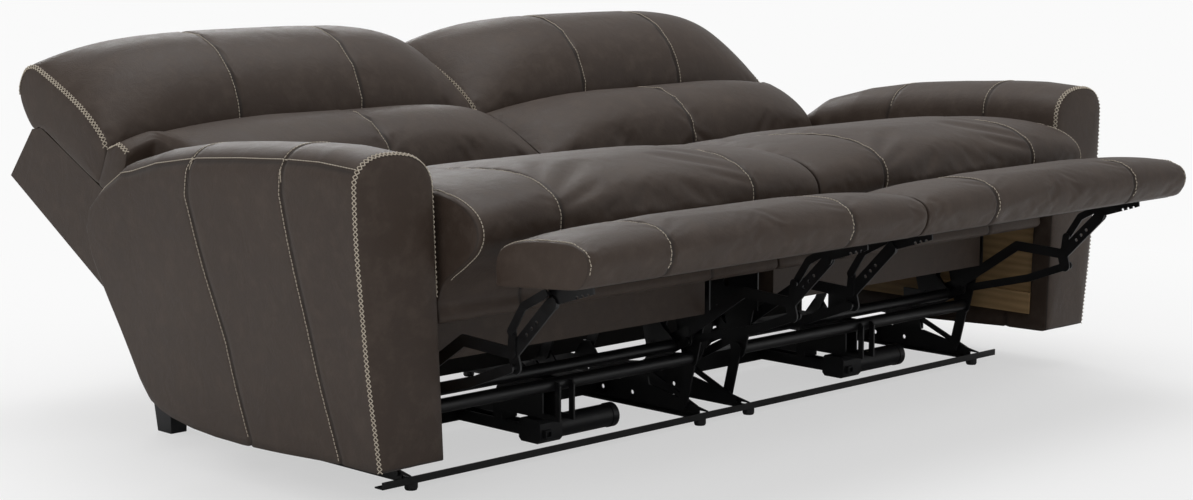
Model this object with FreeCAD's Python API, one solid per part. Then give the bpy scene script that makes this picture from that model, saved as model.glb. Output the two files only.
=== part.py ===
import FreeCAD, Part
import math
import os

from FreeCAD import Vector

# Two-seat power reclining sofa, stored fully reclined with both footrests out.
# Millimetres. X runs along the sofa, Y from the footrests to the backs, Z up from the floor.
# Everything is drawn with Y = 0 at the front glides and moved to the origin at the end.

# Overall seat layout
SEAT_WIDTH = 925.0
SEAT_GAP = 5.0
CUSHION_CLEARANCE = 4.0
SOFT_CLEARANCE = 0.3

# Arms
ARM_INNER_X = SEAT_WIDTH + 2.0
ARM_FOOT_WIDTH = 147.0
ARM_TOP_LEAN = 22.0
ARM_APEX_OFFSET = 120.0
ARM_OUTER_BULGE = 51.0
ARM_FRONT_Y = -165.0
ARM_HEIGHT = 664.0
ARM_BOTTOM_Z = 92.0
ARM_SHOULDER_DROP = 52.0
ARM_WALL = 30.0
ARM_PANEL_THICKNESS = 12.0
ARM_POCKET_FRONT_Y = -118.0
ARM_POCKET_REAR_Y = 500.0
ARM_POCKET_BOTTOM_Z = 128.0
ARM_POCKET_TOP_Z = 500.0

# Floor frame
GLIDE_RADIUS = 13.0
GLIDE_HEIGHT = 14.0
STEEL = 4.0
LAYER_GAP = 1.2
MECH_SIDE_ROOM = 45.0
MECH_OUTER_X = SEAT_WIDTH - MECH_SIDE_ROOM
MECH_INNER_X = 63.0
RAIL_TOP_Z = 62.0
RAIL_NOSE_Z = 30.0
RAIL_NOSE_LENGTH = 150.0
RAIL_FLANGE = 26.0
RAIL_REAR_Y = 745.0
FRONT_BAR_WIDTH = 24.0
FRONT_BAR_HEIGHT = 14.0
FRONT_BAR_OVERHANG = 20.0
FRONT_BAR_HALF_LENGTH = SEAT_WIDTH + FRONT_BAR_OVERHANG
BASE_TUBE_Y = 337.0
BASE_TUBE_SIDE = 40.0
REAR_BOARD_Y = 540.0
REAR_BOARD_TOP_Z = 104.0
REAR_BOARD_THICKNESS = 18.0
REAR_FOOT_Y = 700.0
REAR_FOOT_DEPTH = 60.0
REAR_FOOT_HEIGHT = 75.0
REAR_FOOT_WIDTH = 44.0
BRACE_WIDTH = 12.0
BRACE_TOP = (183.0, 96.0)
UPRIGHT_TOP_Z = 100.0
ARM_BRACKET_LENGTH = 60.0
ARM_BRACKET_HEIGHT = 96.0
ARM_BRACKETS_Y = (190.0, 430.0)

# Seat swing links: each pivot is a (Y, Z) pair
FRONT_BASE_PIVOT = (55.5, 36.8)
FRONT_SEAT_PIVOT = (30.0, 140.0)
REAR_BASE_PIVOT = (483.5, 85.2)
REAR_SEAT_PIVOT = (440.0, 172.0)
SWING_TUBE_RADIUS = 14.0
TUBE_WALL = 2.0
LINK_WIDTH = 26.0
THIN_LINK_WIDTH = 18.0
RIVET_RADIUS = 4.0
RIVET_HEAD_RADIUS = 7.5
RIVET_FIT = 0.1
OPEN_PIVOT_PLAY = 0.3
ROUND_STEP = 30.0
SMALL_ROUND_STEP = 45.0

# Footrest linkage
CRANK_PIVOT = (135.0, 146.0)
KNEE = (20.0, 198.0)
LONG_LINK_BEND = (-134.0, 300.0)
ELBOW = (-263.0, 294.0)
OTTOMAN_PIVOT = (-363.0, 394.0)
LOWER_LINK_START = (23.7, 180.4)
LOWER_LINK_BEND = (-160.0, 226.0)
LOWER_LINK_END = (-270.0, 268.0)
STAY_SEAT_PIVOT = (151.1, 109.9)
STAY_TAIL = (22.2, 178.1)
CONTROL_ELBOW = (-267.7, 333.7)
CONTROL_OTTOMAN = (-356.2, 411.8)
CONTROL_BEND = (-301.0, 383.0)
CRANK_TUBE = (60.0, 165.0)
CRANK_TUBE_LUG = (112.0, 206.0)
CRANK_TUBE_RADIUS = 13.0

# Seat carriage
PLATE_FRONT_Y = -25.0
PLATE_REAR_Y = 600.0
PLATE_BOTTOM_Z = 228.0
PLATE_TOP_Z = 333.0
PLATE_FLANGE = 56.0
REAR_TUBE_Y = 560.0
REAR_TUBE_SIDE = 34.0
SEAT_FRAME_SIDE_ROOM = 44.0
SEAT_FRAME_OUTER_X = MECH_OUTER_X - SEAT_FRAME_SIDE_ROOM
SEAT_FRAME_BOTTOM_Z = 262.0
SEAT_FRONT_RAIL_BOTTOM_Z = 245.0
SEAT_FRAME_FRONT_Y = -40.0
SEAT_FRAME_REAR_Y = 565.0
SEAT_RAIL_THICKNESS = 25.0
SPRING_WIRE = 4.0
SPRING_COUNT = 5
SPRING_LOOPS = 5
SPRING_SWING = 30.0

# Back: drawn in its own plane, U up the back and V out of its front face, from the hinge
BACK_PIVOT = (640.0, 330.0)
BACK_ANGLE = 25.7
BACK_WING_WIDTH = 78.0
BACK_HALF_SPAN_X = SEAT_WIDTH + BACK_WING_WIDTH
BACK_FRONT_V = 90.0
BACK_TOP_U = 506.0
BACK_WALL = 18.0
BACK_REAR_TOP = (543.0, -64.0)
BACK_REAR_SLOPE = 0.08
WING_START_U = 130.0
BACK_SKIRT_U = -200.0
BACK_CORE_INSET = 0.3
BACK_PANEL_LOW_U = -28.0
BACK_PANEL_INSET = 108.0
BOLSTER_SEAM_U = 240.0
HEAD_SIDE_V = 200.0
HEAD_CROWN_V = 305.0
HEAD_TOP_U = 592.0
LUMBAR_SIDE_V = 206.0
LUMBAR_CROWN_V = 284.0
LUMBAR_LOW_U = -32.0
LUMBAR_WING_U = 166.0

# Seat cushion
SEAT_FRONT_Y = -146.0
SEAT_NOSE_Y = -262.0
SEAT_REAR_Y = 392.0
SEAT_STEP_Y = 500.0
SEAT_BOTTOM_Z = 333.3
SEAT_FRONT_LIFT = 5.0
SEAT_SIDE_TOP_Z = 583.0
SEAT_CROWN = 16.0

# Ottoman
OTTOMAN_TILT = 4.4
OTTOMAN_REAR_LOW = (-300.0, 425.0)
OTTOMAN_DEPTH = 209.0
OTTOMAN_HEIGHT = 82.0
OTTOMAN_NOSE = 30.0
OTTOMAN_CROWN = 16.0
OTTOMAN_BOARD_THICKNESS = 15.0
OTTOMAN_BOARD_INSET = 14.0
OTTOMAN_BRACKET_REAR = 50.0

# Power drive
DRIVE_X = 483.0
DRIVE_RAIL_FRONT_Y = 112.0
DRIVE_RAIL_WIDTH = 34.0
DRIVE_RAIL_BOTTOM_Z = 24.0
DRIVE_RAIL_HEIGHT = 24.0
DRIVE_NUT_Y = 185.0
DRIVE_NUT_LENGTH = 26.0
DRIVE_FORK_RISE = 18.0
MOTOR_RADIUS = 24.0
MOTOR_LENGTH = 150.0
GEARBOX_DEPTH = 62.0
DRIVE_FORK_PLAY = 8.2

# Switches
SWITCH_Y = -45.0
SWITCH_Z = 520.0
SWITCH_LENGTH = 84.0
SWITCH_HEIGHT = 40.0
SWITCH_PLATE = 2.5
ROCKER_LENGTH = 44.0
ROCKER_HEIGHT = 22.0
ROCKER_PROUD = 1.6
ROCKER_PIN_RADIUS = 1.5

MECH_MID_X = (MECH_OUTER_X + MECH_INNER_X) / 2
BACK_ROTATION = math.radians(BACK_ANGLE)
LAYER_PITCH = STEEL + LAYER_GAP
SAME_HAND_PARTS = ("actuator", "drive_nut", "drive_fork")
ALONG_X = Vector(1, 0, 0)


def box(x0, x1, y0, y1, z0, z1):
    return Part.makeBox(x1 - x0, y1 - y0, z1 - z0, Vector(x0, y0, z0))


def cylinder_x(point, radius, x0, x1):
    return Part.makeCylinder(radius, x1 - x0, Vector(x0, point[0], point[1]), ALONG_X)


def prism(profile, x0, x1):
    """A closed outline of (Y, Z) points, extruded from x0 to x1."""
    corners = [Vector(x0, y, z) for y, z in profile]
    face = Part.Face(Part.makePolygon(corners + corners[:1]))
    return face.extrude(Vector(x1 - x0, 0, 0))


def along(start, end, distance):
    """The point at a distance from start towards end."""
    length = math.dist(start, end)
    return (
        start[0] + (end[0] - start[0]) * distance / length,
        start[1] + (end[1] - start[1]) * distance / length,
    )


def round_step(radius):
    """Rivets and their holes are plain octagons, and anything larger has twelve sides."""
    return ROUND_STEP if radius > RIVET_HEAD_RADIUS else SMALL_ROUND_STEP


def round_outline(point, radius, turn=0.0, sweep=360.0):
    """Points round an arc, in plain steps so that the many small round ends stay light."""
    step = round_step(radius)
    count = round(sweep / step)
    last = count if sweep < 360.0 else count - 1
    angles = [math.radians(turn + step * number) for number in range(last + 1)]
    return [(point[0] + radius * math.cos(a), point[1] + radius * math.sin(a)) for a in angles]


def disc(point, radius, x0, x1):
    """A pin, boss or head: its corners lie on the true radius."""
    return prism(round_outline(point, radius), x0, x1)


def bore(point, radius, x0, x1):
    """A hole's tool: its flats lie on the true radius, so a pin of that radius turns in it."""
    corner = math.cos(math.radians(round_step(radius) / 2))
    return prism(round_outline(point, radius / corner), x0, x1)


def rod(start, end, radius):
    """A light round rod between two points in space."""
    axis = end - start
    across = axis.cross(ALONG_X)
    if across.Length < 1e-6:
        across = Vector(0, 1, 0)
    across.normalize()
    up = axis.cross(across)
    up.normalize()
    ring = [start + across * a + up * b for a, b in round_outline((0.0, 0.0), radius)]
    return Part.Face(Part.makePolygon(ring + ring[:1])).extrude(axis)


def bar(start, end, width, x0, x1):
    """A flat steel bar with round ends on two pivots."""
    turn = math.degrees(math.atan2(end[1] - start[1], end[0] - start[0]))
    outline = round_outline(end, width / 2, turn - 90.0, 180.0)
    outline += round_outline(start, width / 2, turn + 90.0, 180.0)
    return prism(outline, x0, x1)


def link(points, width, layer, holes=()):
    """A stamped link through its points, in one layer of the stack, with running holes."""
    x0, x1 = layer
    shape = bar(points[0], points[1], width, x0, x1)
    for start, end in zip(points[1:], points[2:]):
        shape = shape.fuse(bar(start, end, width, x0, x1))
    for point in holes:
        shape = shape.cut(bore(point, RIVET_RADIUS + RIVET_FIT, x0 - 1, x1 + 1))
    return shape.removeSplitter()


def layer(number):
    """The X range of one plate in the stack, counted inwards from the floor rail's web."""
    x1 = MECH_OUTER_X - number * LAYER_PITCH
    return (x1 - STEEL, x1)


def rivet(point, from_layer, to_layer):
    """A rivet out of one plate, through the next plate inwards, with a thin round head."""
    start = layer(from_layer)[0]
    end = layer(to_layer)[0]
    head = LAYER_GAP / 2
    shank = disc(point, RIVET_RADIUS, end - head / 2, start)
    return shank.fuse(disc(point, RIVET_HEAD_RADIUS, end - head / 2 - head / 2, end - head / 4))


def spacer(point, radius, from_layer, to_layer):
    """A sleeve that carries a plate's pivot across the layers between."""
    return disc(point, radius, layer(to_layer)[1] + OPEN_PIVOT_PLAY, layer(from_layer)[0])


def both_sides(shape):
    """The same part at the seat's outer and inner mechanism."""
    return [shape, shape.mirror(Vector(MECH_MID_X, 0, 0), ALONG_X)]


def back_point(u, v):
    """A point of the back's own plane, in (Y, Z) at rest."""
    return (
        BACK_PIVOT[0] + u * math.cos(BACK_ROTATION) - v * math.sin(BACK_ROTATION),
        BACK_PIVOT[1] + u * math.sin(BACK_ROTATION) + v * math.cos(BACK_ROTATION),
    )


def faceted(rings):
    """A closed block through rings with equal numbers of corners, in plain flat facets."""
    faces = [Part.Face(Part.makePolygon(ring + ring[:1])) for ring in (rings[0], rings[-1])]
    for near, far in zip(rings, rings[1:]):
        for number in range(len(near)):
            after = (number + 1) % len(near)
            for corners in ((near[number], near[after], far[after]), (near[number], far[after], far[number])):
                faces.append(Part.Face(Part.makePolygon(list(corners) + [corners[0]])))
    block = Part.makeSolid(Part.makeShell(faces))
    if block.Volume < 0:
        block.reverse()
    return block.removeSplitter()


def crowned(sections):
    """A soft block across X through closed outlines with equal numbers of points."""
    return faceted([[Vector(x, y, z) for y, z in outline] for x, outline in sections])


def crown_stations(x0, x1):
    """Stations across a cushion with the height of its crown, from 0 at the sides to 1."""
    stations = [(0.0, 0.0), (0.07, 0.45), (0.28, 0.9), (0.72, 0.9), (0.93, 0.45), (1.0, 0.0)]
    return [(x0 + (x1 - x0) * place, rise) for place, rise in stations]


# Floor rails: a tapered web, a flange on the floor side, an upright lug, a brace and arm brackets
def base_rail(with_arm_brackets):
    web_x = layer(0)
    web = [
        (-FRONT_BAR_WIDTH / 2, GLIDE_HEIGHT + FRONT_BAR_HEIGHT),
        (-FRONT_BAR_WIDTH / 2, RAIL_NOSE_Z),
        (RAIL_NOSE_LENGTH, RAIL_TOP_Z),
        (RAIL_REAR_Y, RAIL_TOP_Z),
        (RAIL_REAR_Y, GLIDE_HEIGHT + STEEL),
        (FRONT_BAR_WIDTH / 2, GLIDE_HEIGHT + STEEL),
        (FRONT_BAR_WIDTH / 2, GLIDE_HEIGHT + FRONT_BAR_HEIGHT),
    ]
    rail = prism(web, *web_x)
    flange_x0 = MECH_OUTER_X - RAIL_FLANGE
    flange = box(flange_x0, MECH_OUTER_X, FRONT_BAR_WIDTH / 2 + SOFT_CLEARANCE, RAIL_REAR_Y,
                 GLIDE_HEIGHT, GLIDE_HEIGHT + STEEL)
    rail = rail.fuse(flange)
    front_lug = disc(FRONT_BASE_PIVOT, LINK_WIDTH / 2 + 2, *web_x)
    rear_lug = prism([
        (REAR_BASE_PIVOT[0] - LINK_WIDTH * 1.6, RAIL_TOP_Z),
        (REAR_BASE_PIVOT[0] - LINK_WIDTH / 2, REAR_BASE_PIVOT[1] + LINK_WIDTH / 2),
        (REAR_BASE_PIVOT[0] + LINK_WIDTH / 2, REAR_BASE_PIVOT[1] + LINK_WIDTH / 2),
        (REAR_BASE_PIVOT[0] + LINK_WIDTH * 1.6, RAIL_TOP_Z),
    ], *web_x)
    upright = prism([
        (BRACE_TOP[0] - 2 * BRACE_WIDTH, RAIL_TOP_Z),
        (BRACE_TOP[0] - BRACE_WIDTH, UPRIGHT_TOP_Z + BRACE_WIDTH),
        (BRACE_TOP[0] + 8 * BRACE_WIDTH, UPRIGHT_TOP_Z),
        (BRACE_TOP[0] + 5 * BRACE_WIDTH, RAIL_TOP_Z),
    ], *web_x)
    rail = rail.fuse([front_lug, rear_lug, upright])
    for pivot in (FRONT_BASE_PIVOT, REAR_BASE_PIVOT):
        rail = rail.fuse(rivet(pivot, 0, 1))
    for step in range(4):
        place = (RAIL_NOSE_LENGTH + 60.0 + 90.0 * step, (RAIL_TOP_Z + GLIDE_HEIGHT) / 2)
        rail = rail.cut(bore(place, 5.0, web_x[0] - 1, web_x[1] + 1))
    brace_x = (MECH_OUTER_X, MECH_OUTER_X + STEEL)
    brace = bar((FRONT_BAR_WIDTH, RAIL_NOSE_Z), BRACE_TOP, BRACE_WIDTH, *brace_x)
    rail = rail.fuse(brace)
    if with_arm_brackets:
        for y in ARM_BRACKETS_Y:
            rail = rail.fuse(arm_bracket(y))
    return rail.removeSplitter()


def arm_bracket(y):
    """A folded plate that carries the arm's frame from the outer floor rail."""
    shelf_z = RAIL_TOP_Z - 2 * STEEL
    inner = ARM_INNER_X - SOFT_CLEARANCE
    shelf = box(MECH_OUTER_X - STEEL, inner, y, y + ARM_BRACKET_LENGTH, shelf_z, shelf_z + STEEL)
    leg = box(inner - STEEL, inner, y, y + ARM_BRACKET_LENGTH, shelf_z,
              shelf_z + ARM_BRACKET_HEIGHT)
    return shelf.fuse(leg)


def front_floor_bar():
    """A steel angle across the whole front, on the glides."""
    half = FRONT_BAR_HALF_LENGTH
    sheet = STEEL * 0.75
    deck = box(-half, half, -FRONT_BAR_WIDTH / 2, FRONT_BAR_WIDTH / 2, GLIDE_HEIGHT, GLIDE_HEIGHT + sheet)
    lip = box(-half, half, -FRONT_BAR_WIDTH / 2, sheet - FRONT_BAR_WIDTH / 2,
              GLIDE_HEIGHT, GLIDE_HEIGHT + FRONT_BAR_HEIGHT)
    return deck.fuse(lip).removeSplitter()


def floor_glides():
    """Round levelling glides with a domed foot: four at the front and two at the rear."""
    glides = []
    places = [(x, 0.0) for x in (-MECH_OUTER_X, -MECH_INNER_X, MECH_INNER_X, MECH_OUTER_X)]
    places += [(x, RAIL_REAR_Y - GLIDE_RADIUS) for x in (-MECH_INNER_X, MECH_INNER_X)]
    for x, y in places:
        inward = -math.copysign(GLIDE_RADIUS, x) if abs(x) > MECH_MID_X else math.copysign(GLIDE_RADIUS, x)
        rings = []
        for radius, z in ((GLIDE_RADIUS - 2, 0.0), (GLIDE_RADIUS, 4.0), (GLIDE_RADIUS, GLIDE_HEIGHT)):
            ring = [Vector(a, b, z) for a, b in round_outline((x + inward, y), radius)]
            rings.append(Part.makePolygon(ring + ring[:1]))
        glides.append(Part.makeLoft(rings, True, True))
    return glides


def rear_foot(side):
    """A tapered moulded foot beside the outer floor rail."""
    x0 = MECH_OUTER_X
    x1 = MECH_OUTER_X + REAR_FOOT_WIDTH
    y0 = REAR_FOOT_Y
    y1 = REAR_FOOT_Y + REAR_FOOT_DEPTH
    taper = 6.0
    low = [(x0, y0 + taper), (x1 - taper, y0 + taper), (x1 - taper, y1 - taper), (x0, y1 - taper)]
    high = [(x0, y0), (x1, y0), (x1, y1), (x0, y1)]
    low = Part.makePolygon([Vector(x, y, 0) for x, y in low + low[:1]])
    high = Part.makePolygon([Vector(x, y, REAR_FOOT_HEIGHT) for x, y in high + high[:1]])
    foot = Part.makeLoft([low, high], True, True)
    return foot if side > 0 else mirrored(foot)


def mirrored(shape):
    return shape.mirror(Vector(0, 0, 0), ALONG_X)


def base_cross_tube():
    """The square tube between a seat's two floor rails, with the drive's rear clevis."""
    x0 = MECH_INNER_X + STEEL
    x1 = MECH_OUTER_X - STEEL
    y0 = BASE_TUBE_Y - BASE_TUBE_SIDE / 2
    z0 = GLIDE_HEIGHT + STEEL + 3.0
    tube = box(x0, x1, y0, y0 + BASE_TUBE_SIDE, z0, z0 + BASE_TUBE_SIDE)
    bore = box(x0, x1, y0 + TUBE_WALL, y0 + BASE_TUBE_SIDE - TUBE_WALL, z0 + TUBE_WALL,
               z0 + BASE_TUBE_SIDE - TUBE_WALL)
    return tube.cut(bore)


def rear_board():
    """The wooden board across the rear of the floor frame."""
    half = MECH_OUTER_X
    return box(-half, half, REAR_BOARD_Y, REAR_BOARD_Y + REAR_BOARD_THICKNESS, RAIL_TOP_Z, REAR_BOARD_TOP_Z)


# Swing links and the tube that joins the front pair
def front_swing_frame():
    lay = layer(1)
    plate = link([FRONT_BASE_PIVOT, FRONT_SEAT_PIVOT], LINK_WIDTH, lay, [FRONT_BASE_PIVOT])
    plate = plate.fuse(rivet(FRONT_SEAT_PIVOT, 1, 2))
    pieces = both_sides(plate)
    tube_end = layer(2)[0] - OPEN_PIVOT_PLAY
    tube = cylinder_x(FRONT_SEAT_PIVOT, SWING_TUBE_RADIUS, 2 * MECH_MID_X - tube_end, tube_end)
    return pieces[0].fuse([pieces[1], tube]).removeSplitter()


def rear_swing_links():
    plate = link([REAR_BASE_PIVOT, REAR_SEAT_PIVOT], LINK_WIDTH, layer(1), [REAR_BASE_PIVOT])
    head = disc(REAR_SEAT_PIVOT, RIVET_HEAD_RADIUS, layer(1)[0] - LAYER_GAP / 2, layer(1)[0])
    return both_sides(plate.fuse(head))


# Seat carriage: two profiled side plates, their top flanges and the rear tube
def carriage_plate():
    lay = layer(2)
    outline = [
        (PLATE_FRONT_Y, PLATE_BOTTOM_Z),
        (PLATE_FRONT_Y, PLATE_TOP_Z),
        (PLATE_REAR_Y, PLATE_TOP_Z),
        (BACK_PIVOT[0], BACK_PIVOT[1] + LINK_WIDTH / 2),
        (BACK_PIVOT[0] + LINK_WIDTH / 2, BACK_PIVOT[1]),
        (BACK_PIVOT[0], BACK_PIVOT[1] - LINK_WIDTH / 2),
        (PLATE_REAR_Y, PLATE_BOTTOM_Z),
    ]
    plate = prism(outline, *lay)
    stem = SWING_TUBE_RADIUS + RIVET_HEAD_RADIUS
    for pivot, spread in ((FRONT_SEAT_PIVOT, 2.0), (REAR_SEAT_PIVOT, 2.5), (CRANK_PIVOT, 2.0)):
        ear = prism([
            (pivot[0] - stem, pivot[1]),
            (pivot[0] - stem * spread, PLATE_BOTTOM_Z + 1),
            (pivot[0] + stem * spread, PLATE_BOTTOM_Z + 1),
            (pivot[0] + stem, pivot[1]),
        ], *lay)
        plate = plate.fuse([ear, disc(pivot, stem, *lay)])
    stay_ear = bar(CRANK_PIVOT, STAY_SEAT_PIVOT, LINK_WIDTH, *lay)
    plate = plate.fuse(stay_ear)
    hinge = disc(BACK_PIVOT, LINK_WIDTH, *lay)
    plate = plate.fuse(hinge)
    flange = box(lay[1] - PLATE_FLANGE, lay[1], PLATE_FRONT_Y, PLATE_REAR_Y - STEEL,
                 PLATE_TOP_Z - STEEL, PLATE_TOP_Z)
    plate = plate.fuse(flange)
    for pivot in (FRONT_SEAT_PIVOT, CRANK_PIVOT):
        plate = plate.cut(bore(pivot, RIVET_RADIUS + RIVET_FIT, lay[0] - 1, lay[1] + 1))
    for step in range(6):
        place = (PLATE_FRONT_Y + 90.0 + 85.0 * step, (PLATE_BOTTOM_Z + PLATE_TOP_Z) / 2)
        plate = plate.cut(bore(place, 9.0, lay[0] - 1, lay[1] + 1))
    plate = plate.fuse(rivet(BACK_PIVOT, 2, 3))
    plate = plate.fuse(spacer(STAY_SEAT_PIVOT, RIVET_RADIUS, 2, 7))
    return plate.removeSplitter()


def seat_carriage():
    plates = both_sides(carriage_plate())
    x1 = layer(2)[0]
    x0 = 2 * MECH_MID_X - x1
    y0 = REAR_TUBE_Y - REAR_TUBE_SIDE / 2
    z0 = PLATE_BOTTOM_Z + STEEL
    tube = box(x0, x1, y0, y0 + REAR_TUBE_SIDE, z0, z0 + REAR_TUBE_SIDE)
    bore = box(x0, x1, y0 + TUBE_WALL, y0 + REAR_TUBE_SIDE - TUBE_WALL, z0 + TUBE_WALL,
               z0 + REAR_TUBE_SIDE - TUBE_WALL)
    return plates[0].fuse([plates[1], tube.cut(bore)]).removeSplitter()


def seat_frame():
    """The wooden seat box: four rails round an open centre, glued and stapled."""
    x1 = SEAT_FRAME_OUTER_X
    x0 = 2 * MECH_MID_X - x1
    top = PLATE_TOP_Z - STEEL
    t = SEAT_RAIL_THICKNESS
    outer = box(x0, x1, SEAT_FRAME_FRONT_Y, SEAT_FRAME_REAR_Y - 45.0, SEAT_FRAME_BOTTOM_Z, top)
    inner = box(x0 + t, x1 - t, SEAT_FRAME_FRONT_Y + t, SEAT_FRAME_REAR_Y - 45.0 - t,
                SEAT_FRAME_BOTTOM_Z - 1, top + 1)
    apron = box(x0, x1, SEAT_FRAME_FRONT_Y, SEAT_FRAME_FRONT_Y + t, SEAT_FRONT_RAIL_BOTTOM_Z, top)
    return outer.cut(inner).fuse(apron).removeSplitter()


def seat_springs():
    """Sinuous springs from the front rail to the rear rail, bent to and fro in one plane."""
    x0 = 2 * MECH_MID_X - SEAT_FRAME_OUTER_X + SEAT_RAIL_THICKNESS
    x1 = SEAT_FRAME_OUTER_X - SEAT_RAIL_THICKNESS
    y0 = SEAT_FRAME_FRONT_Y + SEAT_RAIL_THICKNESS / 2
    y1 = SEAT_FRAME_REAR_Y - 45.0 - SEAT_RAIL_THICKNESS / 2
    z = PLATE_TOP_Z - STEEL
    pitch = (y1 - y0) / SPRING_LOOPS
    springs = []
    for number in range(SPRING_COUNT):
        x = x0 + (x1 - x0) * (number + 0.5) / SPRING_COUNT
        middle = [(x, y0)]
        for loop in range(SPRING_LOOPS):
            swing = SPRING_SWING if loop % 2 == 0 else -SPRING_SWING
            middle.append((x + swing, y0 + pitch * (loop + 0.3)))
            middle.append((x + swing, y0 + pitch * (loop + 0.7)))
        middle.append((x, y1))
        half = SPRING_WIRE / 2
        outline = [(a + half, b) for a, b in middle] + [(a - half, b) for a, b in reversed(middle)]
        corners = [Vector(a, b, z) for a, b in outline]
        face = Part.Face(Part.makePolygon(corners + corners[:1]))
        springs.append(face.extrude(Vector(0, 0, SPRING_WIRE)))
    return springs


# Back: a hollow upholstered box with wings behind the arms, on two hinge brackets
def rear_v(u):
    return BACK_REAR_TOP[1] - (BACK_REAR_TOP[0] - u) * BACK_REAR_SLOPE


def wing_low_u(v):
    """The slanted lower face of the wide part of the back."""
    rear_u = WING_START_U - BACK_FRONT_V
    return WING_START_U - (BACK_FRONT_V - v) * (WING_START_U - rear_u) / (BACK_FRONT_V - rear_v(rear_u))


def back_frame():
    x0 = SEAT_GAP / 2
    x1 = BACK_HALF_SPAN_X
    wall = BACK_WALL
    outline = [
        (WING_START_U, BACK_FRONT_V), (BACK_TOP_U - 28.0, BACK_FRONT_V),
        (BACK_TOP_U, BACK_FRONT_V - 19.0), BACK_REAR_TOP,
        (WING_START_U - BACK_FRONT_V, rear_v(WING_START_U - BACK_FRONT_V)),
    ]
    hollow = [
        (WING_START_U + wall, BACK_FRONT_V - wall), (BACK_TOP_U - 36.0, BACK_FRONT_V - wall),
        (BACK_TOP_U + 16.0, BACK_REAR_TOP[1] + wall),
        (WING_START_U - BACK_FRONT_V + 2 * wall, rear_v(WING_START_U) + wall),
    ]
    shell = prism([back_point(u, v) for u, v in outline], x0, x1)
    void = prism([back_point(u, v) for u, v in hollow], x0 + wall, x1 - wall)
    core_x1 = layer(3)[0] - BACK_CORE_INSET
    core_x0 = 2 * MECH_MID_X - core_x1
    core = prism([back_point(u, v) for u, v in (
        (30.0, BACK_FRONT_V), (WING_START_U, BACK_FRONT_V), (WING_START_U, rear_v(WING_START_U)),
        (30.0, rear_v(30.0)))], core_x0, core_x1)
    core_void = prism([back_point(u, v) for u, v in (
        (30.0 + wall, BACK_FRONT_V - wall), (WING_START_U - 1.0, BACK_FRONT_V - wall),
        (WING_START_U - 1.0, rear_v(WING_START_U) + wall), (30.0 + wall, rear_v(30.0) + wall))],
        core_x0 + wall, core_x1 - wall)
    panel = prism([back_point(u, v) for u, v in (
        (BACK_PANEL_LOW_U, BACK_FRONT_V), (30.0, BACK_FRONT_V), (30.0, BACK_FRONT_V - wall),
        (BACK_PANEL_LOW_U, BACK_FRONT_V - wall))], BACK_PANEL_INSET, SEAT_WIDTH - BACK_PANEL_INSET)
    skirt = prism([back_point(u, v) for u, v in (
        (BACK_SKIRT_U, rear_v(BACK_SKIRT_U)), (WING_START_U, rear_v(WING_START_U)),
        (WING_START_U, rear_v(WING_START_U) + wall), (BACK_SKIRT_U, rear_v(BACK_SKIRT_U) + wall))],
        x0, SEAT_WIDTH - CUSHION_CLEARANCE)
    frame = shell.cut(void).fuse([core.cut(core_void), panel, skirt])
    return frame.removeSplitter()


def back_brackets():
    """The hinge plates on the sides of the back's lower block."""
    lay = layer(3)
    low_v = rear_v(WING_START_U) + 2 * BACK_WALL
    high_v = BACK_FRONT_V - BACK_WALL
    plate = prism([back_point(u, v) for u, v in (
        (0.0, -LINK_WIDTH), (wing_low_u(low_v) - 3.0, low_v),
        (wing_low_u(high_v) - 3.0, high_v), (0.0, LINK_WIDTH))], *lay)
    plate = plate.fuse(disc(BACK_PIVOT, LINK_WIDTH, *lay))
    plate = plate.cut(bore(BACK_PIVOT, RIVET_RADIUS + RIVET_FIT, lay[0] - 1, lay[1] + 1))
    return both_sides(plate.removeSplitter())


def bolster_outline(points, rise):
    """Points are (U, V at the sides, V at the crown)."""
    return [back_point(u, side + (crown - side) * rise) for u, side, crown in points]


def head_bolster():
    low = BOLSTER_SEAM_U
    front = BACK_FRONT_V + SOFT_CLEARANCE
    mid = (low + BACK_TOP_U) / 2
    points = [
        (low, front, front), (BACK_TOP_U - 27.6, front, front),
        (BACK_TOP_U + 0.5, front - 18.7, front - 18.7), (HEAD_TOP_U - 14.0, front + 20.0, front + 20.0),
        (HEAD_TOP_U, HEAD_SIDE_V - 50.0, HEAD_SIDE_V - 10.0),
        (HEAD_TOP_U - 40.0, HEAD_SIDE_V, HEAD_CROWN_V - 42.0),
        (BACK_TOP_U, HEAD_SIDE_V + 4.0, HEAD_CROWN_V - 16.0),
        (mid + 60.0, HEAD_SIDE_V + 6.0, HEAD_CROWN_V), (mid - 20.0, HEAD_SIDE_V + 4.0, HEAD_CROWN_V - 4.0),
        (low + 45.0, HEAD_SIDE_V, HEAD_CROWN_V - 48.0), (low, HEAD_SIDE_V - 16.0, HEAD_SIDE_V),
    ]
    sections = [(x, bolster_outline(points, rise)) for x, rise in crown_stations(SEAT_GAP / 2, BACK_HALF_SPAN_X)]
    return crowned(sections)


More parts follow.
